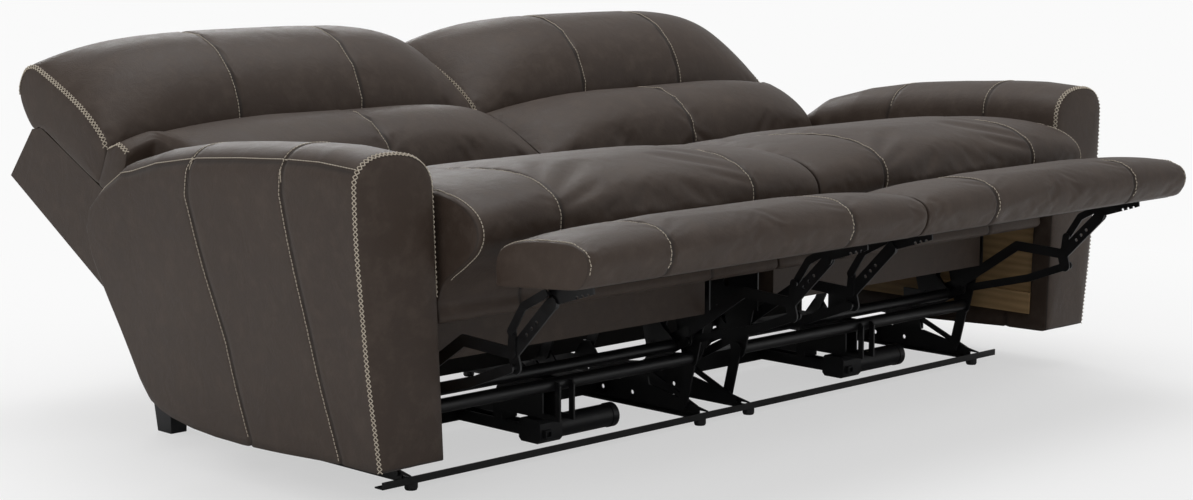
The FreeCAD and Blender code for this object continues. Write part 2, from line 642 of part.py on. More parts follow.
def lumbar_bolster():
    high = BOLSTER_SEAM_U - SOFT_CLEARANCE
    front = BACK_FRONT_V + SOFT_CLEARANCE
    low = LUMBAR_LOW_U
    points = [
        (low, front, front), (high, front, front), (high, LUMBAR_SIDE_V - 22.0, LUMBAR_SIDE_V - 6.0),
        (high - 32.0, LUMBAR_SIDE_V - 4.0, LUMBAR_CROWN_V - 26.0),
        (high - 105.0, LUMBAR_SIDE_V, LUMBAR_CROWN_V), (high - 190.0, LUMBAR_SIDE_V, LUMBAR_CROWN_V - 12.0),
        (0.0, LUMBAR_SIDE_V - 4.0, LUMBAR_CROWN_V - 44.0), (low, LUMBAR_SIDE_V - 36.0, LUMBAR_SIDE_V - 22.0),
    ]
    x1 = SEAT_WIDTH - CUSHION_CLEARANCE
    sections = [(x, bolster_outline(points, rise)) for x, rise in crown_stations(SEAT_GAP / 2, x1)]
    wing = prism([back_point(u, v) for u, v in (
        (LUMBAR_WING_U, front), (high, front), (high, LUMBAR_SIDE_V - 22.0),
        (LUMBAR_WING_U + 20.0, LUMBAR_SIDE_V - 34.0))], x1 - 1.0, BACK_HALF_SPAN_X)
    return crowned(sections).fuse(wing).removeSplitter()


# Seat cushion: front border, rolled nose, crowned top and a low step under the back
def seat_cushion():
    side = SEAT_SIDE_TOP_Z
    z0 = SEAT_BOTTOM_Z
    points = [
        (SEAT_FRONT_Y, z0 + SEAT_FRONT_LIFT, 0.0), (SEAT_FRAME_FRONT_Y - 12.0, z0 + SEAT_FRONT_LIFT, 0.0),
        (SEAT_FRAME_FRONT_Y, z0, 0.0), (SEAT_STEP_Y, z0, 0.0), (SEAT_STEP_Y, z0 + 11.0, 0.0),
        (SEAT_STEP_Y - 65.0, z0 + 34.0, 0.0),
        (SEAT_REAR_Y, z0 + 60.0, 0.0), (SEAT_REAR_Y - 10.0, side - 113.0, 0.4),
        (SEAT_REAR_Y - 80.0, side - 60.0, 0.8), (200.0, side - 26.0, 1.0), (40.0, side - 6.0, 1.0),
        (-70.0, side, 1.0), (-150.0, side - 4.0, 1.0), (-206.0, side - 16.0, 0.8),
        (SEAT_NOSE_Y + 20.0, side - 38.0, 0.5), (SEAT_NOSE_Y, side - 68.0, 0.0),
        (SEAT_NOSE_Y + 6.0, side - 98.0, 0.0), (SEAT_NOSE_Y + 40.0, side - 132.0, 0.0),
        (SEAT_FRONT_Y - 20.0, side - 158.0, 0.0),
    ]
    sections = []
    for x, rise in crown_stations(SEAT_GAP / 2, SEAT_WIDTH - CUSHION_CLEARANCE):
        sections.append((x, [(y, z + SEAT_CROWN * rise * share) for y, z, share in points]))
    return crowned(sections)


# Ottoman: board, brackets and a wrapped cushion, drawn along the board
def ottoman_point(forward, up):
    """A point measured forwards and upwards from the board's rear lower edge."""
    tilt = math.radians(OTTOMAN_TILT)
    return (
        OTTOMAN_REAR_LOW[0] - forward * math.cos(tilt) + up * math.sin(tilt),
        OTTOMAN_REAR_LOW[1] + forward * math.sin(tilt) + up * math.cos(tilt),
    )


def ottoman_board_outline(grow):
    inset = OTTOMAN_BOARD_INSET - grow
    return [
        ottoman_point(inset, 0.0), ottoman_point(OTTOMAN_DEPTH - inset, 0.0),
        ottoman_point(OTTOMAN_DEPTH - inset, OTTOMAN_BOARD_THICKNESS + grow),
        ottoman_point(inset, OTTOMAN_BOARD_THICKNESS + grow),
    ]


def ottoman_board():
    x0 = SEAT_GAP / 2 + OTTOMAN_BOARD_INSET
    x1 = SEAT_WIDTH - CUSHION_CLEARANCE - OTTOMAN_BOARD_INSET
    return prism(ottoman_board_outline(0.0), x0, x1)


def ottoman_cushion():
    depth = OTTOMAN_DEPTH
    height = OTTOMAN_HEIGHT
    points = [
        (0.0, 0.0, 0.0), (depth, 0.0, 0.0), (depth + OTTOMAN_NOSE * 0.7, height * 0.22, 0.0),
        (depth + OTTOMAN_NOSE, height * 0.5, 0.0), (depth + OTTOMAN_NOSE * 0.7, height * 0.78, 0.3),
        (depth - 8.0, height * 0.97, 0.8), (depth * 0.6, height, 1.0), (depth * 0.25, height * 0.97, 1.0),
        (6.0, height * 0.8, 0.6), (-6.0, height * 0.45, 0.0),
    ]
    x0 = SEAT_GAP / 2
    x1 = SEAT_WIDTH - CUSHION_CLEARANCE
    sections = []
    for x, rise in crown_stations(x0, x1):
        outline = [ottoman_point(forward, up + OTTOMAN_CROWN * rise * share) for forward, up, share in points]
        sections.append((x, outline))
    pocket = prism(ottoman_board_outline(SOFT_CLEARANCE), x0 + OTTOMAN_BOARD_INSET - SOFT_CLEARANCE,
                   x1 - OTTOMAN_BOARD_INSET + SOFT_CLEARANCE)
    skin = prism([ottoman_point(OTTOMAN_BOARD_INSET - SOFT_CLEARANCE, -20.0),
                  ottoman_point(OTTOMAN_DEPTH - OTTOMAN_BOARD_INSET + SOFT_CLEARANCE, -20.0),
                  ottoman_point(OTTOMAN_DEPTH - OTTOMAN_BOARD_INSET + SOFT_CLEARANCE, 1.0),
                  ottoman_point(OTTOMAN_BOARD_INSET - SOFT_CLEARANCE, 1.0)],
                 x0 + OTTOMAN_BOARD_INSET - SOFT_CLEARANCE, x1 - OTTOMAN_BOARD_INSET + SOFT_CLEARANCE)
    return crowned(sections).cut(pocket).cut(skin)


def ottoman_brackets():
    """Steel angles under the board: a web with a notched lower edge and a screwed flange."""
    lay = layer(7)
    rear = OTTOMAN_BRACKET_REAR
    front = OTTOMAN_DEPTH - 46.0
    low = -36.0
    web = prism([ottoman_point(forward, up) for forward, up in (
        (rear, 0.0), (rear, low / 2), (rear + 2.0, low), (rear + 26.0, low),
        (front - 10.0, low / 2), (front, low / 2 + 3.0), (front, 0.0))], *lay)
    lobe = disc(OTTOMAN_PIVOT, LINK_WIDTH / 2 - 1, *lay)
    sheet = STEEL * 0.7
    flange = prism([ottoman_point(forward, up) for forward, up in (
        (rear, 0.0), (front, 0.0), (front, -sheet), (rear, -sheet))], lay[0] - 22.0, lay[1])
    plate = web.fuse([flange, lobe])
    for step in range(3):
        notch = ottoman_point(front - 14.0 - 14.0 * step, low / 2 - 2.5 * step)
        plate = plate.cut(bore(notch, 3.5, lay[0] - 1, lay[1] + 1))
    plate = plate.cut(bore(OTTOMAN_PIVOT, RIVET_RADIUS + RIVET_FIT, lay[0] - 1, lay[1] + 1))
    plate = plate.fuse(disc(CONTROL_OTTOMAN, RIVET_RADIUS, lay[0], layer(4)[0] - OPEN_PIVOT_PLAY))
    return both_sides(plate.removeSplitter())


# Footrest linkage, from the crank tube to the ottoman
def footrest_crank():
    """Crank plates joined by an offset tube, which leaves room for the stay links to pass."""
    lay = layer(4)
    plate = link([CRANK_PIVOT, KNEE], LINK_WIDTH, lay)
    plate = plate.fuse(disc(CRANK_PIVOT, CRANK_TUBE_RADIUS + 4, *lay))
    plate = plate.fuse(bar(KNEE, LOWER_LINK_START, THIN_LINK_WIDTH, *lay))
    plate = plate.fuse(bar(along(CRANK_PIVOT, KNEE, 60.0), CRANK_TUBE_LUG, LINK_WIDTH, *lay))
    plate = plate.fuse(rivet(KNEE, 4, 5))
    outward = layer(3)[1] + LAYER_GAP / 4
    pin = disc(LOWER_LINK_START, RIVET_RADIUS, lay[1], outward)
    head = disc(LOWER_LINK_START, RIVET_HEAD_RADIUS, outward, outward + LAYER_GAP / 4)
    stub = disc(CRANK_PIVOT, RIVET_RADIUS, lay[1], layer(2)[1] + LAYER_GAP / 4)
    arm = bar(CRANK_TUBE, CRANK_TUBE_LUG, LINK_WIDTH + 4, *layer(7))
    step = disc(CRANK_TUBE_LUG, RIVET_HEAD_RADIUS - 0.5, layer(7)[1], lay[0])
    plates = both_sides(plate.fuse([pin, head, stub, arm, step]))
    tube_end = layer(7)[0]
    tube = cylinder_x(CRANK_TUBE, CRANK_TUBE_RADIUS, 2 * MECH_MID_X - tube_end, tube_end)
    return plates[0].fuse([plates[1], tube]).removeSplitter()


def footrest_long_links():
    """The upper bent links from knee to elbow, with the lug of the curved link."""
    lay = layer(5)
    plate = link([STAY_TAIL, KNEE, LONG_LINK_BEND, ELBOW], LINK_WIDTH - 4, lay, [KNEE])
    plate = plate.fuse(bar(ELBOW, CONTROL_ELBOW, THIN_LINK_WIDTH, *lay))
    plate = plate.fuse(rivet(ELBOW, 5, 6))
    outward = layer(4)[1] + LAYER_GAP / 4
    pin = disc(CONTROL_ELBOW, RIVET_RADIUS, lay[1], outward)
    head = disc(CONTROL_ELBOW, RIVET_HEAD_RADIUS, outward, outward + LAYER_GAP / 4)
    return both_sides(plate.fuse([pin, head]).removeSplitter())


def footrest_lower_links():
    lay = layer(3)
    plate = link([LOWER_LINK_START, LOWER_LINK_BEND, LOWER_LINK_END], THIN_LINK_WIDTH, lay, [LOWER_LINK_START])
    return both_sides(plate)


def footrest_stay_links():
    lay = layer(6)
    plate = link([STAY_SEAT_PIVOT, STAY_TAIL], THIN_LINK_WIDTH, lay, [STAY_SEAT_PIVOT])
    head = disc(STAY_TAIL, RIVET_HEAD_RADIUS, lay[1], lay[1] + LAYER_GAP / 2)
    return both_sides(plate.fuse(head))


def ottoman_links():
    """The broad diagonal links with a row of holes, from below the elbow to the ottoman."""
    lay = layer(6)
    plate = link([LOWER_LINK_END, ELBOW, OTTOMAN_PIVOT], LINK_WIDTH, lay, [ELBOW])
    for step in range(3):
        place = along(ELBOW, OTTOMAN_PIVOT, 52.0 + 18.0 * step)
        plate = plate.cut(bore(place, 3.5, lay[0] - 1, lay[1] + 1))
    plate = plate.fuse(rivet(OTTOMAN_PIVOT, 6, 7))
    sleeve = disc(LOWER_LINK_END, RIVET_RADIUS, lay[1], layer(3)[0] - OPEN_PIVOT_PLAY)
    return both_sides(plate.fuse(sleeve).removeSplitter())


def ottoman_control_links():
    """The curved links that turn the ottoman as the footrest folds."""
    lay = layer(4)
    plate = link([CONTROL_ELBOW, CONTROL_BEND, CONTROL_OTTOMAN], THIN_LINK_WIDTH - 2, lay, [CONTROL_ELBOW])
    return both_sides(plate)


# Power drive: a channel rail with its gearbox and motor, and a nut that carries a fork
def actuator():
    half = DRIVE_RAIL_WIDTH / 2
    z0 = DRIVE_RAIL_BOTTOM_Z
    z1 = z0 + DRIVE_RAIL_HEIGHT
    rear_y = BASE_TUBE_Y - BASE_TUBE_SIDE / 2 - SOFT_CLEARANCE
    rail = box(DRIVE_X - half, DRIVE_X + half, DRIVE_RAIL_FRONT_Y, rear_y, z0, z1)
    channel = box(DRIVE_X - half + 3, DRIVE_X + half - 3, DRIVE_RAIL_FRONT_Y + 6, rear_y - 6, z0 + 3, z1 + 1)
    screw = rod(Vector(DRIVE_X, DRIVE_RAIL_FRONT_Y + 2, z0 + 13), Vector(DRIVE_X, rear_y - 2, z0 + 13), 5.0)
    rail = rail.cut(channel).fuse(screw)
    gear_y = DRIVE_RAIL_FRONT_Y - GEARBOX_DEPTH
    gearbox = box(DRIVE_X - 30, DRIVE_X + 32, gear_y, DRIVE_RAIL_FRONT_Y, z0 - 8, z0 + 40)
    gearbox = gearbox.makeChamfer(7.0, gearbox.Edges[8:12])
    motor_at = Vector(DRIVE_X + 32, gear_y + MOTOR_RADIUS + 4, z0 + 16)
    motor = Part.makeCylinder(MOTOR_RADIUS, MOTOR_LENGTH, motor_at, ALONG_X)
    cap = Part.makeCylinder(MOTOR_RADIUS + 1.5, 16.0, motor_at + Vector(MOTOR_LENGTH, 0, 0), ALONG_X)
    socket = box(DRIVE_X - 22, DRIVE_X - 4, gear_y - 9, gear_y, z0 + 4, z0 + 20)
    hole = box(DRIVE_X - 19, DRIVE_X - 7, gear_y - 10, gear_y - 2, z0 + 7, z0 + 17)
    motor = motor.fuse([cap, gearbox, socket]).cut(hole)
    return rail.fuse(motor).removeSplitter()


def drive_nut():
    """The nut block that rides on top of the rail."""
    half = DRIVE_RAIL_WIDTH / 2
    z0 = DRIVE_RAIL_BOTTOM_Z + DRIVE_RAIL_HEIGHT + SOFT_CLEARANCE
    return box(DRIVE_X - half, DRIVE_X + half, DRIVE_NUT_Y - DRIVE_NUT_LENGTH / 2,
               DRIVE_NUT_Y + DRIVE_NUT_LENGTH / 2, z0, z0 + DRIVE_FORK_RISE)


def drive_fork():
    """Two curved plates from the nut to a slot round the swing tube, which they push."""
    z0 = DRIVE_RAIL_BOTTOM_Z + DRIVE_RAIL_HEIGHT + SOFT_CLEARANCE
    z1 = z0 + DRIVE_FORK_RISE
    tube_y, tube_z = FRONT_SEAT_PIVOT
    slot_front = tube_y - SWING_TUBE_RADIUS - OPEN_PIVOT_PLAY
    slot_rear = tube_y + SWING_TUBE_RADIUS + DRIVE_FORK_PLAY
    slot_low = z1 + 11.0
    slot_high = tube_z + 8.0
    rear = DRIVE_NUT_Y + DRIVE_NUT_LENGTH / 2
    corners = [
        (slot_front, slot_high), (slot_front, slot_low), (slot_rear, slot_low), (slot_rear, slot_high),
        (slot_rear + 17.0, slot_high), (slot_rear + 61.0, slot_high + 24.0),
    ]
    lower = [
        (rear, z0), (rear - DRIVE_NUT_LENGTH, z0), (rear - DRIVE_NUT_LENGTH, z1 + 1.0),
        (slot_front - 14.0, z1 + 1.0), (slot_front - 14.0, slot_high - 8.0), (slot_front - 8.0, slot_high),
        corners[0],
    ]
    plates = []
    for side in (-1, 1):
        x0 = DRIVE_X + side * DRIVE_RAIL_WIDTH / 2
        points = [Vector(x0, y, z) for y, z in corners]
        back_edge = Part.Arc(points[-1], Vector(x0, rear - 20.0, tube_z - 10.0), Vector(x0, rear, z0))
        edges = list(Part.makePolygon(points).Edges) + [back_edge.toShape()]
        edges += Part.makePolygon([Vector(x0, y, z) for y, z in lower]).Edges
        face = Part.Face(Part.Wire(edges))
        plates.append(face.extrude(Vector(side * STEEL, 0, 0)))
    return plates


# Arms
def arm_crown_z(y):
    """The arm's top line: level in front, falling away to the rear."""
    behind = max(0.0, y - 80.0)
    return ARM_HEIGHT - 0.00030 * behind ** 2 - (0.00025 * (y - 80.0) ** 2 if y < 80.0 else 0.0)


def arm_section(y, z0, inset):
    """The arm across X at one place along Y: flared sides and a rounded crown."""
    top = arm_crown_z(y) - inset
    shoulder = top - ARM_SHOULDER_DROP
    foot = ARM_INNER_X + ARM_FOOT_WIDTH
    inner = Vector(ARM_INNER_X + inset, y, z0)
    inner_top = Vector(ARM_INNER_X + ARM_TOP_LEAN + inset, y, shoulder - 20.0)
    apex = Vector(ARM_INNER_X + ARM_APEX_OFFSET, y, top)
    outer_top = Vector(foot + ARM_OUTER_BULGE - inset, y, shoulder)
    outer_mid = Vector(foot + ARM_OUTER_BULGE * 0.62 - inset, y, (z0 + shoulder) / 2)
    outer = Vector(foot - inset, y, z0)
    crown_in = Part.Arc(inner_top, Vector(ARM_INNER_X + ARM_TOP_LEAN + inset + 26.0, y, top - 21.0), apex)
    crown_out = Part.Arc(apex, Vector(foot + ARM_OUTER_BULGE - inset - 20.0, y, top - 17.0), outer_top)
    outer_side = Part.Arc(outer_top, outer_mid, outer)
    ring = [inner]
    for arc, count in ((crown_in, 4), (crown_out, 4), (outer_side, 5)):
        ring += arc.toShape().discretize(Number=count)[:-1]
    return ring + [outer]


def arm_side_outline():
    """The arm from the side, with its rear edge leaning like the upright back."""
    return [
        (ARM_FRONT_Y - 1.0, ARM_BOTTOM_Z), (60.0, ARM_BOTTOM_Z - 8.0), (315.0, ARM_BOTTOM_Z - 14.0),
        (430.0, ARM_BOTTOM_Z - 4.0), (505.0, ARM_BOTTOM_Z + 14.0), (545.0, ARM_BOTTOM_Z + 42.0),
        (572.0, ARM_BOTTOM_Z + 84.0), (600.0, ARM_BOTTOM_Z + 146.0), (638.0, ARM_BOTTOM_Z + 222.0),
        (678.0, ARM_BOTTOM_Z + 312.0), (686.0, ARM_BOTTOM_Z + 362.0), (672.0, ARM_BOTTOM_Z + 404.0),
        (628.0, ARM_BOTTOM_Z + 450.0), (560.0, ARM_BOTTOM_Z + 492.0), (440.0, ARM_HEIGHT - 18.0),
        (300.0, ARM_HEIGHT + 5.0), (ARM_FRONT_Y - 1.0, ARM_HEIGHT + 5.0),
    ]


def arm_body(inset):
    stations = [ARM_FRONT_Y, 80.0, 300.0, 500.0, 700.0]
    sections = [arm_section(y, ARM_BOTTOM_Z - 20.0, inset) for y in stations]
    return faceted(sections)


def arm_cover():
    """Leather over foam, with a pocket in the inner side for the wooden frame."""
    x_far = ARM_INNER_X + ARM_FOOT_WIDTH + ARM_OUTER_BULGE + 10.0
    side = prism(arm_side_outline(), ARM_INNER_X - 5.0, x_far)
    cover = arm_body(0.0).common(side)
    pocket_x1 = ARM_INNER_X + ARM_FOOT_WIDTH - ARM_WALL
    pocket = box(ARM_INNER_X - 5.0, pocket_x1, ARM_POCKET_FRONT_Y, ARM_POCKET_REAR_Y,
                 ARM_POCKET_BOTTOM_Z, ARM_POCKET_TOP_Z)
    cover = cover.cut(pocket)
    recess = box(ARM_INNER_X - 5.0, ARM_INNER_X + 46.0, SWITCH_Y - SWITCH_LENGTH / 2 + 8.0,
                 SWITCH_Y + SWITCH_LENGTH / 2 - 8.0, SWITCH_Z - SWITCH_HEIGHT / 2 + 6.0,
                 SWITCH_Z + SWITCH_HEIGHT / 2 - 6.0)
    return cover.cut(recess)


def arm_frame():
    """A box of boards in the pocket: inner panel, front and rear posts, top and bottom rails."""
    gap = SOFT_CLEARANCE
    x0 = ARM_INNER_X
    x1 = ARM_INNER_X + ARM_FOOT_WIDTH - ARM_WALL - gap
    y0 = ARM_POCKET_FRONT_Y + gap
    y1 = ARM_POCKET_REAR_Y - gap
    z0 = ARM_POCKET_BOTTOM_Z + gap
    z1 = ARM_POCKET_TOP_Z - gap
    t = SEAT_RAIL_THICKNESS
    outer = box(x0 + t * 0.6, x1, y0, y1, z0, z1)
    inner = box(x0 + t * 0.6 + ARM_PANEL_THICKNESS, x1 - ARM_PANEL_THICKNESS, y0 + t, y1 - t, z0 + t, z1 - t)
    rail = box(x0, x0 + t, y0, y1 - 60.0, z0, z0 + 2 * t)
    return outer.cut(inner).fuse(rail).removeSplitter()


def switch_face_x(z):
    """The inner face of the arm at a height, where it leans outwards."""
    lean_top = ARM_HEIGHT - ARM_SHOULDER_DROP - 20.0
    low = ARM_BOTTOM_Z - 20.0
    return ARM_INNER_X + ARM_TOP_LEAN * (z - low) / (lean_top - low)


def switch_housing():
    """A thin face plate on the arm with a shallow box behind it."""
    x = switch_face_x(SWITCH_Z + SWITCH_HEIGHT / 2) + 0.5
    plate = box(x - 5.0, x - 5.0 + SWITCH_PLATE, SWITCH_Y - SWITCH_LENGTH / 2, SWITCH_Y + SWITCH_LENGTH / 2,
                SWITCH_Z - SWITCH_HEIGHT / 2, SWITCH_Z + SWITCH_HEIGHT / 2)
    back = box(x - 5.0 + SWITCH_PLATE, x + 22.0, SWITCH_Y - SWITCH_LENGTH / 2 + 9.0,
               SWITCH_Y + SWITCH_LENGTH / 2 - 9.0, SWITCH_Z - SWITCH_HEIGHT / 2 + 7.0,
               SWITCH_Z + SWITCH_HEIGHT / 2 - 7.0)
    well = box(x - 6.0, x + 12.0, SWITCH_Y - ROCKER_LENGTH / 2 - 0.6, SWITCH_Y + ROCKER_LENGTH / 2 + 0.6,
               SWITCH_Z - ROCKER_HEIGHT / 2 - 0.6, SWITCH_Z + ROCKER_HEIGHT / 2 + 0.6)
    reach = ROCKER_HEIGHT / 2 + 4.0
    low = Vector(rocker_axis_x(), SWITCH_Y, SWITCH_Z - reach)
    holes = rod(low, low + Vector(0, 0, 2 * reach), ROCKER_PIN_RADIUS + 2 * RIVET_FIT)
    return plate.fuse(back).cut(well).cut(holes)


def rocker_axis_x():
    return switch_face_x(SWITCH_Z + SWITCH_HEIGHT / 2) - 0.5


def rocker():
    """A shallow V-faced key that rocks about a vertical pin."""
    x = switch_face_x(SWITCH_Z + SWITCH_HEIGHT / 2) + 0.5 - 5.0
    half = ROCKER_LENGTH / 2
    face = [
        Vector(x - ROCKER_PROUD, SWITCH_Y - half, 0), Vector(x + 0.4, SWITCH_Y, 0),
        Vector(x - ROCKER_PROUD, SWITCH_Y + half, 0), Vector(x + 7.0, SWITCH_Y + half - 1.0, 0),
        Vector(x + 11.0, SWITCH_Y, 0), Vector(x + 7.0, SWITCH_Y - half + 1.0, 0),
    ]
    base = Part.Face(Part.makePolygon(face + face[:1]))
    key = base.extrude(Vector(0, 0, ROCKER_HEIGHT))
    key.translate(Vector(0, 0, SWITCH_Z - ROCKER_HEIGHT / 2))
    reach = ROCKER_HEIGHT / 2 + 3.0
    low = Vector(rocker_axis_x(), SWITCH_Y, SWITCH_Z - reach)
    pin = rod(low, low + Vector(0, 0, 2 * reach), ROCKER_PIN_RADIUS)
    return key.fuse(pin).removeSplitter()


def seat_parts():
    """One seat's own pieces, drawn for the seat at +X."""
    return {
        "front_swing_frame": front_swing_frame(),
        "rear_swing_links": rear_swing_links(),
        "seat_carriage": seat_carriage(),
        "seat_frame": seat_frame(),
        "seat_springs": seat_springs(),
        "seat_cushion": seat_cushion(),
        "back_frame": back_frame(),
        "back_brackets": back_brackets(),
        "head_bolster": head_bolster(),
        "lumbar_bolster": lumbar_bolster(),
        "footrest_crank": footrest_crank(),
        "footrest_long_links": footrest_long_links(),
        "footrest_lower_links": footrest_lower_links(),
        "footrest_stay_links": footrest_stay_links(),
        "ottoman_links": ottoman_links(),
        "ottoman_control_links": ottoman_control_links(),
        "ottoman_brackets": ottoman_brackets(),
        "ottoman_board": ottoman_board(),
        "ottoman_cushion": ottoman_cushion(),
        "drive_nut": drive_nut(),
        "drive_fork": drive_fork(),
        "actuator": actuator(),
        "base_rails": [base_rail(True), base_rail(False).mirror(Vector(MECH_MID_X, 0, 0), ALONG_X)],
        "arm_frame": arm_frame(),
        "arm_cover": arm_cover(),
        "switch_housing": switch_housing(),
        "switch_rocker": rocker(),
    }


def moved_to_left(shape):
    """The drives aren't mirrored: both motors point the same way."""
    copy = shape.copy()
    copy.translate(Vector(-2 * MECH_MID_X, 0, 0))
    return copy


def build_parts():
    parts = {
        "front_floor_bar": front_floor_bar(),
        "floor_glides": floor_glides(),
        "rear_feet": [rear_foot(-1), rear_foot(1)],
        "base_cross_tubes": [mirrored(base_cross_tube()), base_cross_tube()],
        "rear_board": rear_board(),
    }
    for name, shape in seat_parts().items():
        shapes = shape if isinstance(shape, list) else [shape]
        parts["right_" + name] = shapes
        if name in SAME_HAND_PARTS:
            parts["left_" + name] = [moved_to_left(item) for item in shapes]
        else:
            parts["left_" + name] = [mirrored(item) for item in shapes]
    solids = {}
    for name, shape in parts.items():
        shapes = shape if isinstance(shape, list) else [shape]
        solids[name] = shapes[0] if len(shapes) == 1 else Part.makeCompound(shapes)
    return solids


PARTS = build_parts()
BOUNDS = FreeCAD.BoundBox()
for shape in PARTS.values():
    BOUNDS.add(shape.optimalBoundingBox(False))
ORIGIN_Y = (BOUNDS.YMin + BOUNDS.YMax) / 2
for shape in PARTS.values():
    shape.translate(Vector(0, -ORIGIN_Y, 0))

if __name__ == "__main__":
    os.makedirs("parts", exist_ok=True)
    for name, shape in PARTS.items():
        shape.exportStep("parts/" + name + ".step")
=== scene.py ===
import bpy
import math
from mathutils import Matrix, Vector
from mathutils.bvhtree import BVHTree


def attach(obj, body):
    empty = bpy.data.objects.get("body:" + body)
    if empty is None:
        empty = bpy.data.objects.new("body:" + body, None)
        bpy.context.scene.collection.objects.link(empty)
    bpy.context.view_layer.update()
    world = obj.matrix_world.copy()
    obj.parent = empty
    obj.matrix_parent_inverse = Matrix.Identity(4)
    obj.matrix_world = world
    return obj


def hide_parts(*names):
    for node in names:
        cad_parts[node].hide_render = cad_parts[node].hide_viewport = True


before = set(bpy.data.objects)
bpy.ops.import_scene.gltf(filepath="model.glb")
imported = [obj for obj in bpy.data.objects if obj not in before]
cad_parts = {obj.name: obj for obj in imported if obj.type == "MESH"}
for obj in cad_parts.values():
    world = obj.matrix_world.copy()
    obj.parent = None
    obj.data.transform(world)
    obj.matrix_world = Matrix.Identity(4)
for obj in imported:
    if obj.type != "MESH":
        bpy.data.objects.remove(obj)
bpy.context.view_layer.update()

# The studio: a pale sweep of floor under soft, even light, seen from about a metre up, off the
# sofa's left front corner. The drawing's Y = 0 lies at the front glides, so every piece
# is drawn there in millimetres and moved back to the frame's origin by the same length.
FRONT_TO_ORIGIN = 310.944


def at(x, y, z):
    return Vector((x, y - FRONT_TO_ORIGIN, z)) / 1000.0


def linear(code, alpha=1.0):
    """An sRGB hex value as linear colour."""
    parts = [int(code[place:place + 2], 16) / 255.0 for place in (1, 3, 5)]
    return tuple(p / 12.92 if p <= 0.04045 else ((p + 0.055) / 1.055) ** 2.4 for p in parts) + (alpha,)


def add(tree, kind, settings=None, **links):
    """A node with its settings, and its inputs by name as values or as other nodes' sockets."""
    node = tree.nodes.new(kind)
    for key, value in (settings or {}).items():
        setattr(node, key, value)
    for key, value in links.items():
        numbered = key[0] == "i" and key[1:].isdigit()
        socket = node.inputs[int(key[1:])] if numbered else node.inputs[key.replace("_", " ")]
        if isinstance(value, bpy.types.NodeSocket):
            tree.links.new(value, socket)
        else:
            socket.default_value = value
    return node


def finish_material(name):
    """An empty node material and its output."""
    material = bpy.data.materials.new(name)
    material.use_nodes = True
    tree = material.node_tree
    tree.nodes.clear()
    return material, tree, tree.nodes.new("ShaderNodeOutputMaterial")


camera_data = bpy.data.cameras.new("standing_camera")
camera_data.lens = 72.03
camera_data.sensor_width = 36.0
camera_data.clip_end = 60.0
camera = bpy.data.objects.new("standing_camera", camera_data)
camera.location = at(-3672.0, -3348.0, 1094.0)
camera.rotation_euler = (math.radians(90.0 - 8.374), 0.0, math.radians(-44.51))
bpy.context.scene.collection.objects.link(camera)
bpy.context.scene.camera = camera

bpy.context.scene.view_settings.view_transform = "Standard"

# White seamless paper: matt, a little below white so that the contact shadow reads.
paper, tree, output = finish_material("seamless_white_paper")
fibre = add(tree, "ShaderNodeTexNoise", Scale=9.0, Detail=2.0)
tone = add(tree, "ShaderNodeMix", {"data_type": "RGBA"}, Factor=fibre.outputs["Fac"],
           i6=linear("#f3f3f3"), i7=linear("#f7f7f7"))
matt = add(tree, "ShaderNodeBsdfDiffuse", Color=tone.outputs[2])
# Away from the sofa the paper runs out into the white of the studio, as far as the camera sees.
spot = add(tree, "ShaderNodeNewGeometry").outputs["Position"]
reach = add(tree, "ShaderNodeVectorMath", {"operation": "LENGTH"}, i0=spot)
far = add(tree, "ShaderNodeMapRange", {"interpolation_type": "SMOOTHSTEP"}, Value=reach.outputs["Value"],
          From_Min=0.9, From_Max=2.8, To_Min=0.58, To_Max=1.0)
seen = add(tree, "ShaderNodeLightPath")
fade = add(tree, "ShaderNodeMath", {"operation": "MULTIPLY"}, i0=far.outputs[0],
           i1=seen.outputs["Is Camera Ray"])
bright = add(tree, "ShaderNodeEmission", Color=linear("#fafafa"), Strength=1.0)
sweep = add(tree, "ShaderNodeMixShader", i0=fade.outputs[0], i1=matt.outputs[0], i2=bright.outputs[0])
tree.links.new(sweep.outputs[0], output.inputs["Surface"])

floor_mesh = bpy.data.meshes.new("studio_floor")
floor_mesh.from_pydata([(-30, -30, 0), (30, -30, 0), (30, 30, 0), (-30, 30, 0)], [], [(0, 1, 2, 3)])
floor = bpy.data.objects.new("studio_floor", floor_mesh)
floor.data.materials.append(paper)
bpy.context.scene.collection.objects.link(floor)

world = bpy.data.worlds.new("white_studio")
bpy.context.scene.world = world
world.use_nodes = True
tree = world.node_tree
tree.nodes.clear()
path = add(tree, "ShaderNodeLightPath")
ambient = add(tree, "ShaderNodeBackground", Color=linear("#ffffff"), Strength=0.55)
backdrop = add(tree, "ShaderNodeBackground", Color=linear("#ffffff"), Strength=1.0)
choice = add(tree, "ShaderNodeMixShader", i0=path.outputs["Is Camera Ray"], i1=ambient.outputs[0],
             i2=backdrop.outputs[0])
add(tree, "ShaderNodeOutputWorld", Surface=choice.outputs[0])


def soft_light(name, place, target, size, power):
    light = bpy.data.lights.new(name, "AREA")
    light.shape = "RECTANGLE"
    light.size, light.size_y = size
    light.energy = power
    lamp = bpy.data.objects.new(name, light)
    lamp.location = place
    lamp.rotation_euler = (Vector(target) - Vector(place)).to_track_quat("-Z", "Y").to_euler()
    bpy.context.scene.collection.objects.link(lamp)


soft_light("overhead_softbox", (0.4, 0.6, 4.2), (0.0, 0.1, 0.4), (3.6, 2.4), 74.0)
soft_light("rear_strip", (1.8, 4.6, 2.6), (0.0, 0.2, 0.6), (3.4, 1.0), 62.0)
soft_light("front_left_softbox", (-4.6, -2.4, 2.6), (0.0, 0.0, 0.4), (2.2, 2.2), 26.0)

